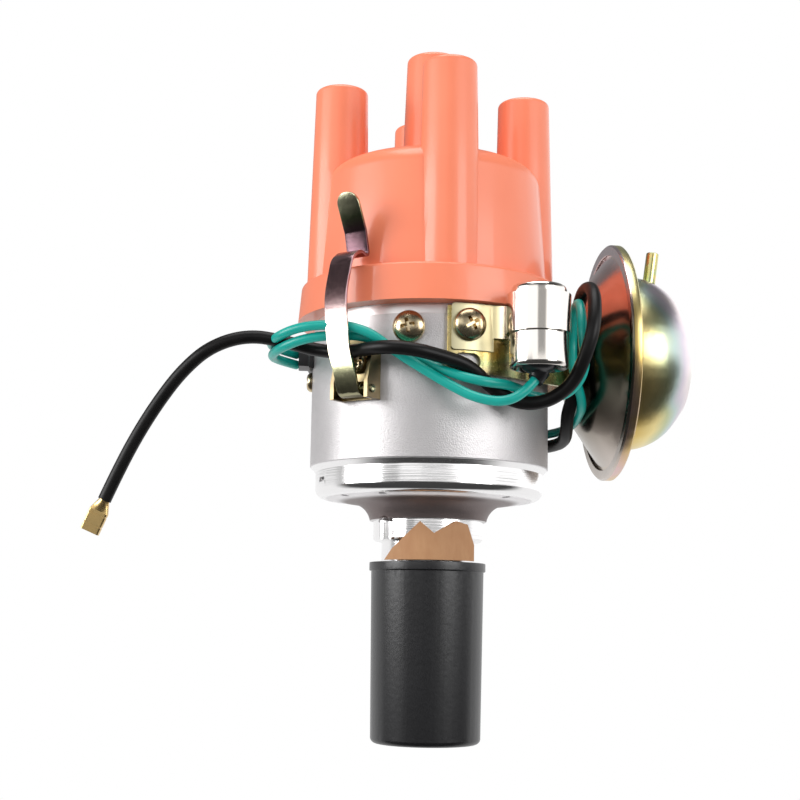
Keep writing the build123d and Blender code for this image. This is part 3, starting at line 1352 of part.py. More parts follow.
# Push-on terminal of the coil's lead: a neck that widens into a flat box with two seams
terminal_at = Vector(*coil_lead_points[0])
terminal_dir = (terminal_at - Vector(*coil_lead_points[1])).normalized()
terminal_plane = Plane(origin=terminal_at + terminal_dir * seat_gap,
                       x_dir=Vector(0, 1, 0).cross(terminal_dir), z_dir=terminal_dir)
with BuildPart() as blade_terminal:
    with BuildSketch(terminal_plane):
        Circle(terminal_neck_r)
    with BuildSketch(terminal_plane.offset(terminal_neck_l)):
        RectangleRounded(terminal_w, terminal_h, terminal_edge)
    loft()
    with BuildSketch(terminal_plane.offset(terminal_neck_l)):
        RectangleRounded(terminal_w, terminal_h, terminal_edge)
    extrude(amount=terminal_box_l)
    for seam_share in terminal_seam_shares:
        with BuildSketch(terminal_plane.offset(terminal_neck_l + terminal_box_l * seam_share)):
            Rectangle(terminal_w + overrun, terminal_h + overrun)
            Rectangle(terminal_w - 2 * terminal_seam_depth, terminal_h - 2 * terminal_seam_depth,
                      mode=Mode.SUBTRACT)
        extrude(amount=terminal_seam_w, mode=Mode.SUBTRACT)
    with BuildSketch(terminal_plane.offset(terminal_neck_l + terminal_wall)):
        Rectangle(terminal_w - 2 * terminal_wall, terminal_h - 2 * terminal_wall)
    extrude(amount=terminal_box_l, mode=Mode.SUBTRACT)
finish(blade_terminal.part, "blade_terminal")

# Cover that is pushed over the shank and the dog for transport
with BuildPart() as shank_cover:
    with BuildSketch(Plane.XZ):
        with BuildLine():
            Polyline((0, cover_foot_z), (cover_foot_r, cover_foot_z),
                     (cover_top_r, cover_top_z - cover_bead_h),
                     (cover_bead_r, cover_top_z - cover_bead_h), (cover_bead_r, cover_top_z),
                     (cover_room_r, cover_top_z), (cover_room_r, cover_foot_z + cover_floor),
                     (0, cover_foot_z + cover_floor), (0, cover_foot_z))
        make_face()
    revolve(axis=Axis.Z)
    fillet(shank_cover.edges().group_by(Axis.Z)[0], radius=cover_edge)
finish(shank_cover.part, "shank_cover")

# Packing paper round the neck, torn along its top
paper_in_r = neck_r + paper_gap
with BuildPart() as paper_wrap:
    with BuildSketch(Plane.XZ):
        with BuildLine():
            Polyline(*paper_outline, paper_outline[0])
        make_face()
    extrude(amount=paper_in_r + paper_t)
    with BuildSketch(Plane.XY.offset(-neck_r)):
        Circle(paper_in_r + paper_t)
        Circle(paper_in_r, mode=Mode.SUBTRACT)
    extrude(amount=2 * neck_r, mode=Mode.INTERSECT)
finish(paper_wrap.part, "paper_wrap")
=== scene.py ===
"""An ignition distributor, dressed over its CAD model, as a lesson in cells.

Lengths are metres in the CAD model's own frame: Z runs up the shaft, X points to the vacuum
unit and the camera stands on the side of -Y. Names ending in _mm are millimetres.
"""
# %% [markdown]
# The CAD model comes in first. It fixes where every part is and how large it is. Everything
# made later is only clothing: a better surface, or a smoother copy of a part that the CAD
# file holds as coarse facets. The size of the whole is written down before anything is added.

import json
from math import atan2, cos, degrees, pi, radians, sin

import bmesh
import bpy
from mathutils import Matrix, Vector

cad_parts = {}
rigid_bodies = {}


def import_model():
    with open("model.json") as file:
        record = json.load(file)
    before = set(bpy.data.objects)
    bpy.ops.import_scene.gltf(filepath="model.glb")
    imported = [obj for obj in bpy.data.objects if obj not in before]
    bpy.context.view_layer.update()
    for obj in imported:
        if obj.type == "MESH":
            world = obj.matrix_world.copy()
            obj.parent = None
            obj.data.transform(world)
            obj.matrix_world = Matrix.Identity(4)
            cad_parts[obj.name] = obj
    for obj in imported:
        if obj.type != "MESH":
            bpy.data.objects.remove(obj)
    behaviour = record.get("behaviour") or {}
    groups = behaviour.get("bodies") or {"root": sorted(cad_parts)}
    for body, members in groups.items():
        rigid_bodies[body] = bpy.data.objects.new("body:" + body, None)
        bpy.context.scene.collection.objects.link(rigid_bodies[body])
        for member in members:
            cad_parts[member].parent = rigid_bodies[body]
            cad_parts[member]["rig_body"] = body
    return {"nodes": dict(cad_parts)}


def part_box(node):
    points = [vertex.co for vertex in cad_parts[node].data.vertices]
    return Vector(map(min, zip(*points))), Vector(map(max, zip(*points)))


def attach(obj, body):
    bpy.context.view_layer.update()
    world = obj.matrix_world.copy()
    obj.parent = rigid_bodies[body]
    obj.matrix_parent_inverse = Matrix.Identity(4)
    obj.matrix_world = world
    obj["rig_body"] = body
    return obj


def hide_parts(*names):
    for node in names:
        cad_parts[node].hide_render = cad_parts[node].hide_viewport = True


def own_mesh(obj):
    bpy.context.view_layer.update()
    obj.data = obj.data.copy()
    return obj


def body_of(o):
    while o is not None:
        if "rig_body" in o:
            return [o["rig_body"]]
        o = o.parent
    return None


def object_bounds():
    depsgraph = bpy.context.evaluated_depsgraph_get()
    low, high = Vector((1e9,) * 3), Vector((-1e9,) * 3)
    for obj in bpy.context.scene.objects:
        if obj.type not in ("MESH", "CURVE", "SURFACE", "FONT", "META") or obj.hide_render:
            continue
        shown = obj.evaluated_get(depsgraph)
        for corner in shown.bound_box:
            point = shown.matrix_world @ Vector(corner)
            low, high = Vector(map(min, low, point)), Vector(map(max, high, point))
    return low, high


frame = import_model()
nodes = frame["nodes"]
cad_box = [list(corner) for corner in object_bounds()]
print("the frame holds", len(nodes), "parts in a box from", cad_box[0], "to", cad_box[1])

mm = 0.001


def at_mm(*numbers):
    """A point given in millimetres, as a vector in metres."""
    return Vector(numbers) * mm


def put(name, data):
    """A new object that holds the data, in the scene."""
    piece = bpy.data.objects.new(name, data)
    bpy.context.scene.collection.objects.link(piece)
    return piece


def mesh_of(bm, name):
    """The bmesh as a new mesh. The bmesh is let go."""
    mesh = bpy.data.meshes.new(name)
    bm.to_mesh(mesh)
    bm.free()
    return mesh


# %% [markdown]
# The photograph was taken from below the middle of the object, a short distance away, with
# the camera tilted up and turned by a hair. The place and the angles were worked out from
# circles whose size is known: the machined ring, the cap's foot and the tops of the towers.
# A camera object looks along its own -Z, so it starts by being tipped up a quarter turn.

# %% Camera
camera_at = at_mm(1.28, -407.36, -21.5)
camera_pitch = 0.1546
camera_roll = 0.0169
camera_yaw = -0.0248
camera_data = bpy.data.cameras.new("camera")
camera_data.sensor_width = 36
camera_data.lens = 62.29
camera_data.clip_start = 0.01
camera = put("camera", camera_data)
camera.matrix_world = (Matrix.Translation(camera_at)
                       @ Matrix.Rotation(-camera_yaw, 4, "Z")
                       @ Matrix.Rotation(pi / 2 + camera_pitch, 4, "X")
                       @ Matrix.Rotation(camera_roll, 4, "Z"))
bpy.context.scene.camera = camera
bpy.context.scene.view_settings.view_transform = "Standard"
print("camera at", camera.matrix_world.translation)

# %% [markdown]
# Three insulated leads wander over the front: a black one to the coil and two thin green ones.
# A lead could be a pipe swept as a mesh, but a curve keeps its route readable. Each is one
# smooth curve whose control points follow its CAD tube, but for the turn at the left, where
# the picture shows the green pair in front of the black lead. A NURBS curve of the third order
# is as supple as insulated wire: it leans towards its points and passes between them without
# kinks. The order has to be set after the points are there, or it stays at two and draws
# straight runs. The thickness sits on the points as their radius, because a curve's box is
# grown by that radius.

# %% Leads
coil_route_mm = (
    (-90.6, -22.0, 9.1), (-87.4, -22.3, 16.5), (-82.4, -23.0, 26.7), (-76.4, -24.0, 36.6),
    (-69.5, -25.7, 45.6), (-61.3, -27.9, 52.3), (-51.1, -26.6, 55.8), (-40.5, -26.8, 54.0),
    (-30.8, -27.4, 51.2), (-21.7, -33.0, 50.0), (-13.2, -43.7, 49.7), (-4.7, -44.8, 49.0),
    (3.1, -41.4, 47.7), (10.6, -38.7, 45.8), (16.7, -33.4, 40.8), (23.6, -33.1, 36.4),
    (31.5, -33.9, 36.3), (38.7, -35.5, 41.0), (42.0, -38.8, 48.3), (44.6, -40.0, 57.4),
    (45.1, -33.8, 69.0), (43.1, -20.8, 71.3), (42.0, -11.2, 62.1), (43.6, -12.8, 46.6),
    (40.1, -8.6, 38.3), (40.5, -1.6, 33.2), (40.6, 5.0, 31.2), (38.4, 12.45, 30.4),
    (33.45, 19.29, 30.4))
condenser_route_mm = (
    (28.4, -39.8, 41.7), (25.3, -41.0, 37.8), (19.8, -41.6, 35.2), (12.4, -41.4, 36.4),
    (6.1, -40.1, 39.7), (-1.5, -38.8, 44.4), (-9.1, -39.4, 49.0), (-17.8, -39.9, 55.3),
    (-27.5, -36.6, 57.1), (-36.0, -34.6, 56.6), (-42.2, -31.0, 54.8), (-45.6, -22.0, 54.2),
    (-44.6, -11.5, 54.8), (-39.6, -3.9, 54.6))
points_route_mm = (
    (33.45, 19.29, 34.2), (38.4, 12.45, 34.2), (42.0, 5.0, 35.0), (43.7, -3.0, 36.8),
    (44.2, -13.8, 39.6), (40.8, -17.4, 47.6), (40.9, -14.5, 57.5), (41.1, -21.3, 66.6),
    (41.5, -32.6, 64.9), (41.6, -36.4, 53.8), (42.9, -33.3, 45.5), (38.2, -30.4, 39.0),
    (29.8, -29.4, 38.2), (22.7, -34.5, 41.2), (14.8, -40.3, 40.9), (6.8, -39.5, 43.0),
    (0.1, -37.0, 46.2), (-8.1, -36.0, 49.6), (-16.3, -37.3, 53.6), (-26.0, -34.6, 54.6),
    (-35.0, -33.4, 53.6), (-41.6, -29.8, 51.6), (-45.3, -20.8, 51.2), (-44.6, -11.0, 51.7),
    (-39.6, -3.9, 51.5))
thick_lead_mm = 3.8
thin_lead_mm = 2.7


def lay_lead(name, route_mm, diameter_mm):
    """One lead as a NURBS curve of that thickness, riding on the housing."""
    curve = bpy.data.curves.new(name, "CURVE")
    curve.dimensions = "3D"
    curve.bevel_depth = 1
    curve.bevel_resolution = 6
    curve.use_fill_caps = True
    curve.resolution_u = 10
    spline = curve.splines.new("NURBS")
    spline.points.add(len(route_mm) - 1)
    for point, place in zip(spline.points, route_mm):
        point.co = (*at_mm(*place), 1)
        point.radius = diameter_mm / 2 * mm
    spline.order_u = 3
    spline.use_endpoint_u = True
    lead = put(name, curve)
    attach(lead, "housing")
    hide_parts(name.replace("_wire", "_lead"))
    print(name, "has", len(route_mm), "points")
    return lead


def route_length(lead):
    """The length of the lead's own centreline."""
    bare = lead.data.copy()
    bare.bevel_depth = 0
    line = bpy.data.objects.new("centreline", bare)
    mesh = bpy.data.meshes.new_from_object(line)
    places = [vertex.co for vertex in mesh.vertices]
    bpy.data.objects.remove(line)
    return sum((b - a).length for a, b in zip(places, places[1:]))


# %% Lengths of the leads
coil_wire = lay_lead("coil_wire", coil_route_mm, thick_lead_mm)
condenser_wire = lay_lead("condenser_wire", condenser_route_mm, thin_lead_mm)
points_wire = lay_lead("points_wire", points_route_mm, thin_lead_mm)
route_length(coil_wire)
print("coil_wire is", round(route_length(coil_wire), 4), "m long")
for wire, route_mm in ((condenser_wire, condenser_route_mm), (points_wire, points_route_mm)):
    route_length(wire)
    print(wire.name, "is", round(route_length(wire), 4), "m long")

# %% [markdown]
# The CAD file comes as loose triangles, and each is shaded flat, so a bright tube shows
# stripes. A copy of such a node is merged into one skin first. Then neighbouring faces are
# shaded together wherever they meet at a small angle, and stay apart at real edges. A narrow
# bevel on those edges catches a line of light, as every edge of a real part does. The normals
# are weighted by area, so that the narrow bevels bend and the large faces stay true. The
# leads have their own curves, and the blade terminal on the black lead stays the CAD piece.

# %% Smooth copies
skins = {}
weld_gap = 0.001 * mm


def weigh_normals(piece):
    """Lets the large faces at a vertex decide its normal."""
    weights = piece.modifiers.new("weights", "WEIGHTED_NORMAL")
    weights.mode = "FACE_AREA"
    weights.weight = 80
    weights.keep_sharp = True


def dress(node, name, mesh, angle):
    """Puts a mesh in a CAD node's place, smooth wherever faces meet at less than the angle."""
    if node in skins:
        bpy.data.objects.remove(skins[node])
    mesh.shade_smooth()
    mesh.set_sharp_from_angle(angle=radians(angle))
    skins[node] = put(name, mesh)
    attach(skins[node], body_of(nodes[node])[0])
    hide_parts(node)
    return skins[node]


def skin(name, edge_mm=0.0, angle=34):
    """A merged copy of a CAD node, with a bevel of that width on its sharp edges."""
    mesh = nodes[name].data.copy()
    mesh.name = name + "_skin"
    bm = bmesh.new()
    bm.from_mesh(mesh)
    bmesh.ops.remove_doubles(bm, verts=bm.verts, dist=weld_gap)
    bmesh.ops.dissolve_degenerate(bm, edges=bm.edges, dist=weld_gap)
    bmesh.ops.recalc_face_normals(bm, faces=bm.faces)
    if edge_mm:
        bmesh.ops.dissolve_limit(bm, angle_limit=radians(0.5), verts=bm.verts, edges=bm.edges)
        sharp = [edge for edge in bm.edges
                 if len(edge.link_faces) == 2 and edge.calc_face_angle() > radians(angle)]
        bmesh.ops.bevel(bm, geom=sharp, offset=edge_mm * mm, offset_type="OFFSET",
                        segments=2, profile=0.5, affect="EDGES", material=-1,
                        clamp_overlap=True)
    bm.to_mesh(mesh)
    bm.free()
    weigh_normals(dress(name, name + "_skin", mesh, angle))


# %% Soft edges
soft_edges_mm = {"distributor_cap": 0.35, "housing_casting": 0.30, "unit_bracket": 0.15,
                 "cap_clip_front": 0.12, "cap_clip_rear": 0.12, "clip_bracket_front": 0.12,
                 "clip_bracket_rear": 0.12, "condenser_strap": 0.12, "terminal_block": 0.30,
                 "ground_screw": 0.12, "shank_cover": 0.20}
for name in sorted(nodes):
    if not name.endswith("_lead") and name != "blade_terminal":
        skin(name, soft_edges_mm.get(name, 0.0))
print(len(soft_edges_mm), "of", len(skins), "skins have soft edges")

# %% [markdown]
# The strap grips the condenser's can. In the picture its upper edge sits a little lower than
# in the CAD file. The solid could be cut again there, but moving the vertices between two
# heights keeps every hole and fold of the strap as it is.

# %% Strap's upper edge
strap_edge_mm = (66.6, 80.0)
strap_drop_mm = 2.2
moved = 0
for vertex in skins["condenser_strap"].data.vertices:
    if strap_edge_mm[0] * mm < vertex.co.z < strap_edge_mm[1] * mm:
        vertex.co.z -= strap_drop_mm * mm
        moved += 1
print(moved, "vertices of the strap are lower;", len(skins), "skins with",
      sum(len(piece.data.polygons) for piece in skins.values()), "faces")

# %% [markdown]
# Two pan-head screws sit in front. A head is a dome, so one profile is turned round its axis.
# The cross in it could be painted dark, but it catches light like every real recess, so it is
# cut by a Boolean modifier with two crossed bars that narrow towards their foot, which is what
# the driver's punch leaves. The modifier is applied by reading the evaluated mesh, so that
# only the weighted normals stay live on the piece.

# %% Turned solids
def turned_mesh(name, profile_mm, steps=64):
    """A solid of revolution about Z, from (radius, height) pairs that start and end on it."""
    bm = bmesh.new()
    verts = [bm.verts.new((radius * mm, 0, height * mm)) for radius, height in profile_mm]
    edges = [bm.edges.new(pair) for pair in zip(verts, verts[1:])]
    bmesh.ops.spin(bm, geom=verts + edges, cent=(0, 0, 0), axis=(0, 0, 1), angle=2 * pi,
                   steps=steps, use_merge=True, use_duplicate=False)
    bmesh.ops.remove_doubles(bm, verts=bm.verts, dist=2 * weld_gap)
    bmesh.ops.recalc_face_normals(bm, faces=bm.faces)
    return mesh_of(bm, name)


# %% Cross recess
bar_top_mm = (4.9, 1.15)
bar_foot_mm = (2.6, 0.75)
recess_mm = 1.7
overrun_mm = 0.5


def crossed_bars(top_mm):
    """The driver's cross, whose bars go down into a head that ends at that height."""
    bm = bmesh.new()
    for turn in (0, pi / 2):
        made = bmesh.ops.create_cube(bm, size=1)["verts"]
        for vert in made:
            foot = vert.co.z < 0
            long_mm, wide_mm = bar_foot_mm if foot else bar_top_mm
            vert.co.x *= long_mm * mm
            vert.co.y *= wide_mm * mm
            vert.co.z = (top_mm - recess_mm if foot else top_mm + overrun_mm) * mm
        bmesh.ops.rotate(bm, verts=made, cent=(0, 0, 0), matrix=Matrix.Rotation(turn, 3, "Z"))
    return mesh_of(bm, "bars")


def cut_cross(mesh, top_mm):
    """The mesh with the cross cut into its top."""
    tool = put("bars", crossed_bars(top_mm))
    work = put("work", mesh)
    cut = work.modifiers.new("cross", "BOOLEAN")
    cut.operation = "DIFFERENCE"
    cut.object = tool
    cut.use_self = True
    graph = bpy.context.evaluated_depsgraph_get()
    done = bpy.data.meshes.new_from_object(work.evaluated_get(graph))
    for piece in (tool, work):
        bpy.data.objects.remove(piece)
    return done


# %% Screw heads
cad_head_mm = 2.9
head_radius_mm = 4.55
head_rise_mm = 3.0
rim_mm = 0.75
chamfer_mm = 0.15
thread_radius_mm = 2
thread_length_mm = 3.0
dome_steps = 11


def pan_screw(node, azimuth, height_mm, turn):
    """A domed screw on the wall, outwards at an azimuth in degrees, its cross at a turn."""
    across = radians(azimuth)
    out = Vector((cos(across), sin(across), 0))
    far_mm = max(vertex.co @ out / mm for vertex in nodes[node].data.vertices)
    foot_mm = far_mm - cad_head_mm
    dome = [(head_radius_mm * cos(step * pi / (2 * dome_steps)),
             rim_mm + (head_rise_mm - rim_mm) * sin(step * pi / (2 * dome_steps)))
            for step in range(dome_steps)]
    mesh = turned_mesh(node, [(0, -thread_length_mm), (thread_radius_mm, -thread_length_mm),
                              (thread_radius_mm, 0), (head_radius_mm - chamfer_mm, 0),
                              (head_radius_mm, chamfer_mm)] + dome + [(0, head_rise_mm)])
    mesh = cut_cross(mesh, head_rise_mm)
    mesh.transform(Matrix.Rotation(across, 4, "Z")
                   @ Matrix.Translation((foot_mm * mm, 0, height_mm * mm))
                   @ Matrix.Rotation(pi / 2, 4, "Y") @ Matrix.Rotation(turn, 4, "Z"))
    weigh_normals(dress(node, node + "_head", mesh, 32))
    print(node, "has", len(mesh.polygons), "faces")


pan_screw("front_screw", -99.5, 57.0, 0.18)
pan_screw("strap_screw", -73.2, 57.6, 0.55)

# %% [markdown]
# The can is drawn from sheet metal and plated to a mirror. A mirror shows every facet of a
# coarse tube, so the can gets a mesh of its own: one profile, turned in 96 steps. From foot
# to crown it has the hollow for the rubber plug, the rolled lip, the straight wall, a small
# step and the rounded shoulder. The pairs are radius and height.

# %% Can
low, high = (Vector(corner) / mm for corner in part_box("condenser_can"))
can_x, can_y = (low.x + high.x) / 2, (low.y + high.y) / 2
can_profile_mm = [
    (0, 48.2), (6.9, 48.2), (6.95, 46.6), (7.2, 45.3), (7.5, 44.95), (7.75, 45.1),
    (7.95, 45.5), (8.0, 46.2), (8.0, 65.0), (7.86, 65.3), (7.62, 65.42), (7.6, 65.7),
    (7.6, 66.4), (7.45, 66.95), (7.15, 67.4), (6.7, 67.65), (6.2, 67.72), (0, 67.74)]
can_mesh = turned_mesh("condenser_can", can_profile_mm, 96)
can_mesh.transform(Matrix.Translation((can_x * mm, can_y * mm, 0)))
dress("condenser_can", "condenser_can_turned", can_mesh, 40)
print("the can stands at", round(can_x, 2), round(can_y, 2), "mm")

# %% [markdown]
# A clip is a spring that bows outwards. The CAD strap is a chain of flats, and a mirror finish
# would show each of them. Bending the strap would change where it grips the cap, so its faces
# only get the normals of the bow that they stand for: level at the lead's height, tipped up
# above it and down below. A normal of zero leaves a corner as it is.

# %% Bowed clips
wire_foot_mm, wire_top_mm, bow_top_mm = 49, 53, 74
lean_at_foot, lean_at_top, steepest_lean = -0.7, 1.7, -24


def bow_lean(z_mm):
    """How many degrees the strap leans back at that height, or forward below the lead."""
    if z_mm > wire_top_mm:
        return lean_at_top + (z_mm - wire_top_mm) * 1.15
    if z_mm > wire_foot_mm:
        return lean_at_top + (z_mm - wire_top_mm) * 0.6
    return max(steepest_lean, lean_at_foot + (z_mm - wire_foot_mm) * 2)


def bow_normals(name, azimuth):
    """Custom normals for the outer faces of a clip, which follow the height."""
    piece = skins[name]
    piece.modifiers.clear()
    mesh = piece.data
    out = Vector((cos(radians(azimuth)), sin(radians(azimuth)), 0))
    aside = Vector((-out.y, out.x, 0))
    normals = [Vector((0, 0, 0)) for _ in mesh.loops]
    for face in mesh.polygons:
        outward = face.normal.dot(out) > 0.72 and abs(face.normal.dot(aside)) < 0.3
        for index in face.loop_indices:
            z_mm = mesh.vertices[mesh.loops[index].vertex_index].co.z / mm
            if outward and z_mm < bow_top_mm:
                lean = radians(bow_lean(z_mm))
                normals[index] = out * cos(lean) + Vector((0, 0, sin(lean)))
    mesh.normals_split_custom_set(normals)
    print(name, "bowed on", sum(1 for normal in normals if normal.length), "corners")


clip_out = sum((Vector(corner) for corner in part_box("clip_bracket_front")), Vector())
front_azimuth = degrees(atan2(clip_out.y, clip_out.x))
bow_normals("cap_clip_front", front_azimuth)
bow_normals("cap_clip_rear", front_azimuth + 180)
print("the front clip stands at", round(front_azimuth, 1), "degrees")

# %% [markdown]
# Seen in the picture, the bowl of the vacuum unit is a little flatter in front than the CAD
# shell. A new bowl could be turned, but the nipple sits in this one. So the far part of the
# skin is drawn in by up to 1.2 mm, softly, from the middle of its depth on, and the rim and
# the nipple's seat stay where they are.

# %% Bowl
unit_centre_mm = (54.0, 6.0, 55.0)
unit_turn = radians(6.5)
unit_out = Vector((cos(unit_turn), sin(unit_turn), 0))
draw_from_mm, draw_over_mm, draw_in_mm = 15, 8, 1.2
drawn = 0
for vertex in skins["vacuum_outer_shell"].data.vertices:
    depth_mm = (vertex.co - at_mm(*unit_centre_mm)) @ unit_out / mm
    share = (depth_mm - draw_from_mm) / draw_over_mm
    if share > 0:
        vertex.co -= unit_out * (draw_in_mm * mm * min(share, 1) ** 2)
        drawn += 1
print(drawn, "vertices of the bowl are drawn in")

# %% [markdown]
# Every finish on the object is a sum of small effects: grain, machining marks, a film of
# zinc that shimmers. Written as nodes by hand that takes hundreds of clicks. Here one small
# class holds a socket and lets Python's own signs add the Math nodes, so a mask reads like a
# sum. Every other kind of node comes from one method, which sets the node up first and then
# fills or links its sockets.

# %% Sums on sockets
class Wire:
    """A socket of a material that can be added, multiplied and compared."""

    def __init__(self, tree, socket):
        self.tree = tree
        self.socket = socket

    def node(self, kind, settings=None, values=None, output=0):
        """Adds a node, sets it up, fills or links its sockets and gives one of its outputs."""
        new = self.tree.nodes.new(kind)
        for name, value in (settings or {}).items():
            if name == "stops":
                ramp = new.color_ramp
                while len(ramp.elements) < len(value):
                    ramp.elements.new(1)
                for element, (place, colour) in zip(ramp.elements, value):
                    element.position = place
                    element.color = (*colour, 1)
            else:
                setattr(new, name, value)
        for name, value in (values or {}).items():
            if isinstance(value, Wire):
                self.tree.links.new(value.socket, new.inputs[name])
            else:
                new.inputs[name].default_value = value
        return Wire(self.tree, new.outputs[output])

    def maths(self, operation, first, second=0.0, third=0.0):
        """A Math node on up to three numbers or sockets."""
        return self.node("ShaderNodeMath", {"operation": operation},
                         {0: first, 1: second, 2: third})

    def __add__(self, other):
        return self.maths("ADD", self, other)

    __radd__ = __add__

    def __mul__(self, other):
        return self.maths("MULTIPLY", self, other)

    __rmul__ = __mul__

    def __sub__(self, other):
        return self.maths("SUBTRACT", self, other)

    def __rsub__(self, other):
        return self.maths("SUBTRACT", other, self)

    def __truediv__(self, other):
        return self.maths("DIVIDE", self, other)

    def __pow__(self, other):
        return self.maths("POWER", self, other)

    def step(self, low, high):
        """Smoothly from 0 at low to 1 at high."""
        return self.node("ShaderNodeMapRange", {"interpolation_type": "SMOOTHSTEP"},
                         {"Value": self, "From Min": low, "From Max": high})

    def ramp(self, stops):
        """A colour for each value from 0 to 1."""
        return self.node("ShaderNodeValToRGB", {"stops": stops}, {"Fac": self})

    def mix(self, first, second):
        """The first colour where this is 0 and the second where it is 1."""
        pair = [value if isinstance(value, Wire) else (*value, 1) for value in (first, second)]
        return self.node("ShaderNodeMix", {"data_type": "RGBA"},
                         {0: self, 6: pair[0], 7: pair[1]}, output=2)


# %% [markdown]
# A finish is a material with one Principled shader. What is the same all over goes straight
# on the shader's sockets. What changes from place to place reads Object coordinates, which
# are metres in the frame of the whole object, because no part here has been moved away from
# the origin. That makes a scale easy to judge: noise of scale 2000 has grains of half a
# millimetre.

# %% Finishes
class Finish:
    """A material with one Principled shader, and the coordinates that its patterns read."""

    def __init__(self, name, **constants):
        self.material = bpy.data.materials.new(name)
        self.material.use_nodes = True
        self.tree = self.material.node_tree
        self.shader = self.tree.nodes["Principled BSDF"]
        for key, value in constants.items():
            socket = self.shader.inputs[key.replace("_", " ").title().replace("Ior", "IOR")]
            socket.default_value = (*value, 1) if key.endswith("color") else value
        place = self.tree.nodes.new("ShaderNodeTexCoord")
        self.place = Wire(self.tree, place.outputs["Object"])
        axes = self.tree.nodes.new("ShaderNodeSeparateXYZ")
        self.tree.links.new(self.place.socket, axes.inputs[0])
        self.x, self.y, self.z = (Wire(self.tree, axes.outputs[k]) for k in range(3))

    def noise(self, scale, detail=3.0, stretch=(1, 1, 1), distortion=0.0):
        """Cloudy noise from 0 to 1, which a stretch squeezes along each axis."""
        squeezed = self.place.node("ShaderNodeVectorMath", {"operation": "MULTIPLY"},
                                   {0: self.place, 1: stretch})
        return self.place.node("ShaderNodeTexNoise", {},
                               {"Vector": squeezed, "Scale": scale, "Detail": detail,
                                "Distortion": distortion})

    def feed(self, socket, wire):
        """Links a varying value to one of the shader's sockets."""
        self.tree.links.new(wire.socket, self.shader.inputs[socket])
        return self

    def bump(self, height, depth, strength=1.0):
        """Turns a height from 0 to 1 into relief of that depth in metres."""
        relief = self.place.node("ShaderNodeBump", {},
                                 {"Strength": strength, "Distance": depth, "Height": height})
        return self.feed("Normal", relief)


def cover(finish, *names):
    """Puts the finish on CAD nodes or pieces of those names."""
    for name in names:
        piece = skins.get(name) or nodes.get(name) or bpy.data.objects[name]
        piece.data.materials.clear()
        piece.data.materials.append(finish.material)
    print(finish.material.name, "covers", len(names), "pieces")


# %% [markdown]
# The cap is moulded from an orange resin. It is glossy, but not like glass: the tool's
# polish leaves faint waves, and the resin is slightly cloudy. One gloss for both would look
# like plastic foil, so a coat gives the sharp highlight and the base under it stays a little
# rougher. A slow noise mixes two near oranges, and a second one bends the highlight.

# %% Cap moulding
cap_finish = Finish("cap_moulding", roughness=0.38, coat_weight=0.35, coat_roughness=0.12,
                    specular_ior_level=0.45)
cloud = cap_finish.noise(60, 2)
cap_finish.feed("Base Color", cloud.mix((0.81, 0.20, 0.10), (0.87, 0.245, 0.13)))
cap_finish.bump(cap_finish.noise(180, 2), 0.00006, 0.35)
cover(cap_finish, "distributor_cap")

# %% [markdown]
# The housing is one casting with two faces. Where the tool has turned it, at the band under
# the cap, the ring above the flare and the neck, it is bright and has fine rings. Between
# them the skin is as it left the mould: pale grey, softly grained, with no clear
# reflections. Two materials would need the mesh cut in two. Masks on the height tell the
# faces apart in one material. Masks on the distance from the shaft paint shade on the flare,
# which looks down into the dark, and paint the foot of the ring near white and less metallic,
# a painted reflection that keeps its downward face bright.

# %% Casting
cast_finish = Finish("cast_alloy")
height_mm = cast_finish.z / mm
neck_top_mm, ring_foot_mm = (5.8, 6.0), (12.0, 12.2)
ring_top_mm, band_foot_mm, flare_top_mm = (20.9, 21.2), (60.9, 61.1), (11.0, 12.5)
flare_edge_mm, foot_edge_mm = (24.0, 26.5), (25.5, 27.5)
turned_ring = height_mm.step(*ring_foot_mm) * (1 - height_mm.step(*ring_top_mm))
turned_band = height_mm.step(*band_foot_mm)
turned_neck = 1 - height_mm.step(*neck_top_mm)
turned = turned_ring + turned_band + turned_neck
grain = cast_finish.noise(2600, 4)
blotch = cast_finish.noise(90, 3)
rings = cast_finish.noise(3000, 2, stretch=(0.02, 0.02, 1))
cast_colour_and_painted_light = (blotch * 0.5 + grain * 0.5).mix((0.50, 0.48, 0.49), (0.78, 0.76, 0.76))
from_shaft_mm = ((cast_finish.x / mm) ** 2.0 + (cast_finish.y / mm) ** 2.0) ** 0.5
# Painted shade: the flare, which faces down into the dark, is coloured dark brown.
flare = (height_mm.step(*neck_top_mm) * (1 - height_mm.step(*flare_top_mm))
         * (1 - from_shaft_mm.step(*flare_edge_mm)))
cast_colour_and_painted_light = flare.mix(cast_colour_and_painted_light, (0.22, 0.18, 0.175))
# Painted reflection: the ring's downward foot is coloured near white and made less metallic, so
# it stays bright.
foot = (1 - height_mm.step(11.9, 12.3)) * from_shaft_mm.step(*foot_edge_mm)
cast_colour_and_painted_light = foot.mix(cast_colour_and_painted_light, (0.93, 0.91, 0.92))
cast_finish.feed("Base Color", turned.mix(cast_colour_and_painted_light, (0.90, 0.89, 0.89)))
polish = rings * 0.10 + 0.12 + turned_band * 0.22
cast_finish.feed("Roughness", turned * polish + (1 - turned) * (grain * 0.14 + 0.38))
cast_finish.feed("Metallic", turned * 0.2 + 0.80 - foot * 0.55)
cast_finish.bump(grain * (1 - turned) + rings * turned * 0.15, 0.00016, 0.7)
cover(cast_finish, "housing_casting")

# %% [markdown]
# The steel parts are zinc plated and passivated yellow. The film is thinner than a hair's
# hundredth, so its colour comes from interference and drifts over the surface: straw, gold,
# green and back. The shader's own thin film would be truer, but its thickness can't be
# baked, so a slow noise picks the place on a ramp of those colours. The metal under the film
# is bright and only lightly brushed, so the roughness stays low.

# %% Yellow zinc
straw, gold, leaf = (0.86, 0.78, 0.52), (0.72, 0.52, 0.18), (0.46, 0.52, 0.26)
rose, pale = (0.72, 0.52, 0.50), (0.82, 0.80, 0.76)


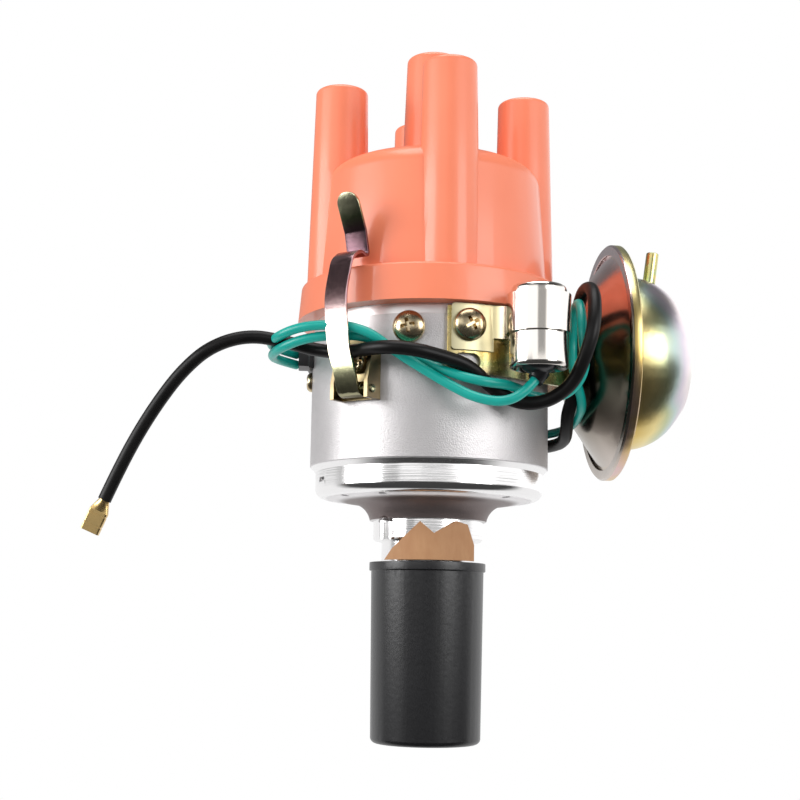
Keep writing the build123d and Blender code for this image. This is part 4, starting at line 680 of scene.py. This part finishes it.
def zinc(name, film, scale, roughness):
    """Plated steel whose film drifts through the film's colours at that scale."""
    finish = Finish(name, metallic=1.0)
    scuffs = finish.noise(900, 4)
    finish.feed("Base Color", finish.noise(scale, 2, distortion=0.6).ramp(film))
    finish.feed("Roughness", scuffs * 0.12 + roughness)
    finish.bump(scuffs, 0.00004, 0.4)
    return finish


bracket_film = [(0.28, (0.60, 0.56, 0.36)), (0.40, (0.58, 0.44, 0.16)),
                (0.48, (0.36, 0.40, 0.20)), (0.56, (0.46, 0.30, 0.20)),
                (0.64, (0.62, 0.55, 0.33)), (0.74, (0.36, 0.42, 0.34))]
screw_film = [(0.3, (0.50, 0.39, 0.24)), (0.5, (0.68, 0.58, 0.38)), (0.7, (0.42, 0.31, 0.19))]
dull_film = [(0.3, (0.16, 0.12, 0.08)), (0.5, (0.30, 0.24, 0.13)), (0.7, (0.20, 0.15, 0.10))]
bracket_zinc = zinc("bracket_zinc", bracket_film, 55, 0.20)
screw_zinc = zinc("screw_zinc", screw_film, 120, 0.20)
dull_zinc = zinc("dull_zinc", dull_film, 90, 0.26)
cover(bracket_zinc, "unit_bracket")
cover(dull_zinc, "clip_bracket_front", "clip_bracket_rear")
cover(screw_zinc, "front_screw", "strap_screw", "bracket_screws", "ground_screw",
      "plate_screws")

# %% [markdown]
# The clips hung in the same bath, and the picture shows their film in bands: olive on the tab,
# mauve on the shoulder, pale where the strap bows out, olive and rose at the foot. The near-black
# band between the shoulder and the tab is painted dark reflection on the bend, which faces the
# dark room above. Noise alone would put the colours anywhere, so the ramp is read by height, and
# the noise only lets the bands wander by a few millimetres.

# %% Clips
clip_zinc_and_painted_reflection = Finish("clip_zinc_and_painted_reflection", metallic=1.0)
clip_foot_mm, clip_height_mm, clip_wander_mm = 30, 72, 6
clip_drift = clip_zinc_and_painted_reflection.z / mm + (clip_zinc_and_painted_reflection.noise(80, 2) - 0.5) * clip_wander_mm
clip_place = (clip_drift - clip_foot_mm) / clip_height_mm
# Painted reflection: the near-black stops at 0.68 and 0.76 darken the bend under the tab, which
# mirrors the dark room above.
clip_zinc_and_painted_reflection.feed("Base Color", clip_place.ramp([
    (0.02, (0.62, 0.36, 0.33)), (0.06, (0.30, 0.25, 0.17)), (0.14, (0.40, 0.39, 0.24)),
    (0.21, (0.50, 0.50, 0.30)), (0.26, (0.72, 0.66, 0.52)), (0.40, (0.80, 0.64, 0.60)),
    (0.47, (0.44, 0.28, 0.29)), (0.62, (0.46, 0.29, 0.31)), (0.68, (0.16, 0.09, 0.11)),
    (0.76, (0.13, 0.08, 0.09)), (0.80, (0.16, 0.19, 0.10)), (0.84, (0.54, 0.54, 0.36)),
    (0.98, (0.52, 0.50, 0.34))]))
clip_scuffs = clip_zinc_and_painted_reflection.noise(900, 4)
clip_zinc_and_painted_reflection.feed("Roughness", clip_scuffs * 0.10 + 0.16)
clip_zinc_and_painted_reflection.bump(clip_scuffs, 0.00004, 0.4)
cover(clip_zinc_and_painted_reflection, "cap_clip_front", "cap_clip_rear", "clip_pins")

# %% [markdown]
# The vacuum unit has the same plating, but it is the largest smooth surface and shows the
# film's bands best. They follow the bowl's depth, because the bath drains off it in that
# direction, so this finish reads the distance along the unit's own axis and lets the noise
# only bend the bands. The dish behind the rim gets painted reflection in bands instead of a
# film: rose at the top, where it mirrors the orange cap, nearly black across the middle, where
# it mirrors the dark leads, and a pale brown at the foot. A mask along the same axis tells it
# from the bowl.

# %% Vacuum unit
unit_finish = Finish("unit_zinc_and_painted_reflection", metallic=1.0)
along_mm = ((unit_finish.x / mm - unit_centre_mm[0]) * cos(unit_turn)
            + (unit_finish.y / mm - unit_centre_mm[1]) * sin(unit_turn))
lift_mm = unit_finish.z / mm - unit_centre_mm[2]
wander = unit_finish.noise(40, 2, distortion=0.8)
band_place = along_mm * 0.032 + lift_mm * 0.006 + wander * 0.55
bowl_colour = band_place.ramp([(0.0, rose), (0.18, (0.70, 0.50, 0.16)),
                               (0.36, (0.84, 0.70, 0.32)), (0.50, (0.54, 0.58, 0.34)),
                               (0.62, (0.52, 0.64, 0.60)), (0.74, (0.66, 0.60, 0.68)),
                               (0.86, (0.84, 0.74, 0.76)), (0.96, pale)])
dish_radius_mm = 35
# Painted reflection: the dish's bands by height stand in for what it mirrors, the orange cap at
# the top and the dark leads across the middle.
dish_place = (lift_mm + dish_radius_mm) / (2 * dish_radius_mm) + (wander - 0.5) * 0.2
dish_painted_reflection = dish_place.ramp([(0.0, (0.60, 0.53, 0.48)), (0.2, (0.24, 0.21, 0.17)),
                               (0.4, (0.15, 0.15, 0.11)), (0.56, (0.16, 0.14, 0.10)),
                               (0.7, (0.74, 0.54, 0.50)), (1.0, (0.80, 0.70, 0.74))])
outside = along_mm.step(-1.4, -1.0)
unit_finish.feed("Base Color", outside.mix(dish_painted_reflection, bowl_colour))
unit_finish.feed("Roughness", unit_finish.noise(700, 3) * 0.06 + outside * 0.08 + 0.18)
cover(unit_finish, "vacuum_inner_shell", "vacuum_outer_shell")
nipple_zinc = zinc("nipple_zinc", [(0.3, gold), (0.5, leaf), (0.7, straw)], 200, 0.16)
cover(nipple_zinc, "hose_nipple")

# %% [markdown]
# The condenser's can and its strap are plated brighter, a nickel tone with a breath of pink.
# They are nearly mirrors, so most of what they show is the room, and the colour only tints
# it. The drawn can has fine lines along its height, which come from noise that is squeezed
# less along Z. The strap is duller and yellower on its tab, so a mask on the distance from
# the can's own axis mixes the two.

# %% Condenser
can_finish = Finish("condenser_plating", metallic=1.0)
can_tone = can_finish.noise(70, 2)
can_finish.feed("Base Color", can_tone.mix((0.86, 0.80, 0.74), (0.78, 0.76, 0.72)))
can_finish.feed("Roughness", can_finish.noise(1500, 3, stretch=(1, 1, 0.1)) * 0.08 + 0.10)
cover(can_finish, "condenser_can")
strap_finish = Finish("strap_plating", metallic=1.0)
from_can_mm = ((strap_finish.x / mm - can_x) ** 2.0 + (strap_finish.y / mm - can_y) ** 2.0) ** 0.5
on_tab = from_can_mm.step(9.5, 13.0)
tab_tone = strap_finish.noise(60, 2).mix((0.44, 0.42, 0.26), (0.58, 0.52, 0.34))
strap_finish.feed("Base Color", on_tab.mix((0.84, 0.79, 0.73), tab_tone))
strap_finish.feed("Roughness", on_tab * 0.22 + 0.12)
cover(strap_finish, "condenser_strap")

# %% [markdown]
# Rubber and hard black moulding differ in their gloss more than in their colour: the cover
# over the shank is a soft half-gloss with a fine leathery grain, the phenolic block is duller
# and the carbon brush has hardly any gloss. Pure black would swallow the shape, so each keeps
# a little grey.

# %% Blacks
rubber_finish = Finish("black_rubber", roughness=0.33, specular_ior_level=0.75)
rubber_tone = rubber_finish.noise(120, 3)
rubber_finish.feed("Base Color", rubber_tone.mix((0.003, 0.003, 0.004), (0.008, 0.008, 0.010)))
rubber_finish.bump(rubber_finish.noise(700, 3), 0.00008, 0.4)
cover(rubber_finish, "shank_cover", "condenser_plug", "lead_elbow", "seal_ring", "diaphragm")
phenolic = Finish("dark_moulding", base_color=(0.022, 0.022, 0.024), roughness=0.42)
phenolic.bump(phenolic.noise(1500, 3), 0.00005, 0.5)
cover(phenolic, "terminal_block", "rotor_arm", "spring_post")
carbon_finish = Finish("carbon", base_color=(0.02, 0.02, 0.02), roughness=0.7)
cover(carbon_finish, "carbon_brush")

# %% [markdown]
# The leads' insulation is extruded, so it is smooth along the whole length, and its gloss is
# even and slightly waxy. A bump would only make it look like cloth. It gets one roughness and
# a colour that drifts a little. The hidden CAD tubes take the same finish.

# %% Insulation
green_finish = Finish("green_insulation", roughness=0.34, specular_ior_level=0.5)
green_tone = green_finish.noise(150, 2)
green_finish.feed("Base Color", green_tone.mix((0.0, 0.30, 0.25), (0.004, 0.38, 0.32)))
cover(green_finish, "condenser_wire", "points_wire", "condenser_lead", "points_lead")
black_wire_finish = Finish("black_insulation", roughness=0.40, specular_ior_level=0.22)
black_tone = black_wire_finish.noise(200, 2)
black_wire_finish.feed("Base Color", black_tone.mix((0.003, 0.003, 0.003), (0.009, 0.008, 0.008)))
cover(black_wire_finish, "coil_wire", "coil_lead")

# %% [markdown]
# The terminal and the electrodes are brass, stamped and a little tarnished. Tarnish darkens
# the metal and dulls it at the same place, so one noise feeds both the colour and the
# roughness. The shaft runs in bushes of sintered bronze, which is browner and more matt.

# %% Brass
brass_finish = Finish("brass", metallic=1.0)
tarnish = brass_finish.noise(400, 3)
brass_finish.feed("Base Color", tarnish.mix((0.80, 0.58, 0.25), (0.62, 0.42, 0.17)))
brass_finish.feed("Roughness", tarnish * 0.2 + 0.2)
cover(brass_finish, "blade_terminal", "outer_electrodes", "middle_electrode", "rotor_blade")
bronze_finish = Finish("bronze", metallic=1.0, base_color=(0.48, 0.30, 0.15))
bronze_finish.feed("Roughness", bronze_finish.noise(3000, 3) * 0.3 + 0.3)
cover(bronze_finish, "shaft_bushes")

# %% [markdown]
# Inside there is plain steel, ground where it turns and oiled where it doesn't. Few of these
# parts are ever seen, so they share one bright steel with grinding marks, and the springs
# share a darker one.

# %% Inner steel
steel_finish = Finish("bright_steel", metallic=1.0)
grind = steel_finish.noise(1800, 3, stretch=(1, 1, 0.2))
steel_finish.feed("Base Color", grind.mix((0.52, 0.52, 0.53), (0.64, 0.63, 0.62)))
steel_finish.feed("Roughness", grind * 0.2 + 0.18)
cover(steel_finish, "drive_shaft", "drive_dog", "dog_pin", "weight_plate", "advance_weight_a",
      "advance_weight_b", "cam_sleeve", "breaker_base_plate", "breaker_plate",
      "fixed_contact", "breaker_arm", "thrust_washers", "vacuum_rod")
spring_finish = Finish("spring_steel", metallic=1.0, base_color=(0.30, 0.30, 0.32))
spring_finish.feed("Roughness", spring_finish.noise(2500, 2) * 0.2 + 0.3)
cover(spring_finish, "advance_springs", "arm_spring", "brush_spring", "diaphragm_spring")

# %% [markdown]
# A scrap of brown packing paper is wrapped round the neck. Paper is matt and fibrous. An image
# of paper would do, but a noise that is squeezed less along Z gives fibres without one, and it
# feeds both the colour and the relief.

# %% Paper
paper_finish = Finish("packing_paper", roughness=0.72)
fibre = paper_finish.noise(500, 4, stretch=(1, 1, 0.4))
paper_finish.feed("Base Color", fibre.mix((0.40, 0.19, 0.085), (0.52, 0.29, 0.145)))
paper_finish.bump(fibre, 0.0002, 0.5)
cover(paper_finish, "paper_wrap")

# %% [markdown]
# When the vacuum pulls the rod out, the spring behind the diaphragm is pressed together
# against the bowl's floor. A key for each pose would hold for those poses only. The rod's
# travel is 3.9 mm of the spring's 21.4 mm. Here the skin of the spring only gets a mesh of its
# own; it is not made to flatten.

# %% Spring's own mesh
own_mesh(skins["diaphragm_spring"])

# %% [markdown]
# A product picture has no floor to speak of: the object stands on white. A plane right under
# it would show a grey edge from below, where this camera is, and the cover needs room to slide
# off. So the floor lies a quarter of a metre lower. It catches the shadows only and stays out
# of the reflections.

# %% Floor
floor_drop = 0.25
floor_half = 1.2
bm = bmesh.new()
bmesh.ops.create_grid(bm, x_segments=1, y_segments=1, size=floor_half)
bmesh.ops.translate(bm, verts=bm.verts, vec=(0, 0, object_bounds()[0][2] - floor_drop))
floor = put("floor", mesh_of(bm, "floor"))
floor.visible_glossy = False
floor_finish = Finish("floor", roughness=0.9, base_color=(0.9, 0.9, 0.9))
floor.data.materials.append(floor_finish.material)
print("the floor lies at", round(floor.data.vertices[0].co.z, 4), "m")

# %% [markdown]
# Bright metal shows the room more than it shows itself. The camera sees a white world, matt
# surfaces are lit by a plain pale grey one, and mirrors see a third: a bright belt above the
# horizon, dark below it and overhead, and white behind the object. That is what a studio with
# a white backdrop and a dark room around the camera looks like, and it gives the plating its
# contrast. Real cards and stands could be modelled, but they would cast shadows too. The
# Light Path node tells the three kinds of ray apart, and the direction of a ray, as three
# shares from -1 to 1, says where the belt, the stands and the viewer are.

# %% Rays and directions
world = bpy.data.worlds.new("studio")
world.use_nodes = True
bpy.context.scene.world = world
sky = world.node_tree
background = sky.nodes["Background"]
background.inputs["Color"].default_value = (1, 1, 1, 1)
rays = sky.nodes.new("ShaderNodeLightPath")
seen = Wire(sky, rays.outputs["Is Camera Ray"])
mirrored = Wire(sky, rays.outputs["Is Glossy Ray"])
towards = sky.nodes.new("ShaderNodeTexCoord")
shares = sky.nodes.new("ShaderNodeSeparateXYZ")
sky.links.new(towards.outputs["Generated"], shares.inputs[0])
right_share, back_share, up_share = (Wire(sky, shares.outputs[k]) for k in (0, 1, 2))
print("rays are told apart by", seen.socket.name, "and", mirrored.socket.name)

# %% What mirrors see
plain_light = 0.55
night = 0.05
belt_light = 1.3


def between(share, low, high, blur):
    """1 where the share lies between two values and 0 outside, with a soft edge."""
    return share.step(low - blur, low + blur) * (1 - share.step(high - blur, high + blur))


front = 1 - back_share.step(-0.2, 0.0)
low_down = 1 - up_share.step(0.115, 0.14)
behind_left = back_share.step(-0.15, 0.25) * (1 - right_share.step(0.05, 0.35))
stand = front * between(right_share, -0.75, -0.48, 0.03) * low_down
pole = front * between(right_share, 0.50, 0.545, 0.01) * low_down
viewer = front * between(right_share, -0.13, 0.36, 0.05) * up_share.step(0.13, 0.16)
belt = (up_share.step(0.02, 0.10) * (1 - up_share.step(0.38, 0.60)) * (1 - 0.9 * behind_left)
        * (1 - 0.7 * stand) * (1 - 0.6 * pole) * (1 - 0.72 * viewer))
backdrop = back_share.step(0.0, 0.35) * (0.12 + 0.78 * (1 - up_share.step(0.09, 0.15)))
mirror_light = night + belt * belt_light + backdrop * (1 - belt)
strength = seen + (1 - seen) * (mirrored * mirror_light + (1 - mirrored) * plain_light)
sky.links.new(strength.socket, background.inputs["Strength"])
print("the world's strength comes from", len(sky.nodes), "nodes")

# %% [markdown]
# Two large lamps stand left and right and one hangs above. Their size is what makes a shadow
# soft and a highlight broad; a small lamp of the same power would leave a hard dot on the cap.
# A lamp shines along its own -Z, so it is turned until that axis points at the middle of the
# object.

# %% Lamps
def soft_lamp(name, at, size_mm, power):
    """An area lamp at a point, turned to the middle of the object."""
    data = bpy.data.lights.new(name, "AREA")
    data.shape = "RECTANGLE"
    data.size, data.size_y = (side * mm for side in size_mm)
    data.energy = power
    lamp = put(name, data)
    lamp.matrix_world = (Matrix.Translation(at)
                         @ (at - middle).to_track_quat("Z", "Y").to_matrix().to_4x4())
    print(name, "gives", power, "W")


middle = (Vector(cad_box[0]) + Vector(cad_box[1])) / 2
soft_lamp("left_lamp", at_mm(-528, -213, 165), (400, 290), 2.2)
soft_lamp("right_lamp", at_mm(423, -381, 165), (330, 290), 1.25)
soft_lamp("top_lamp", at_mm(0, -120, 620), (500, 400), 2.4)

# %% [markdown]
# The last step brings the scene up to date. A picture alone wouldn't show a piece that grew by
# a millimetre. The dressed object's box should equal the bare CAD model's but for the bowl,
# which was drawn in.

# %% Sizes
bpy.context.view_layer.update()
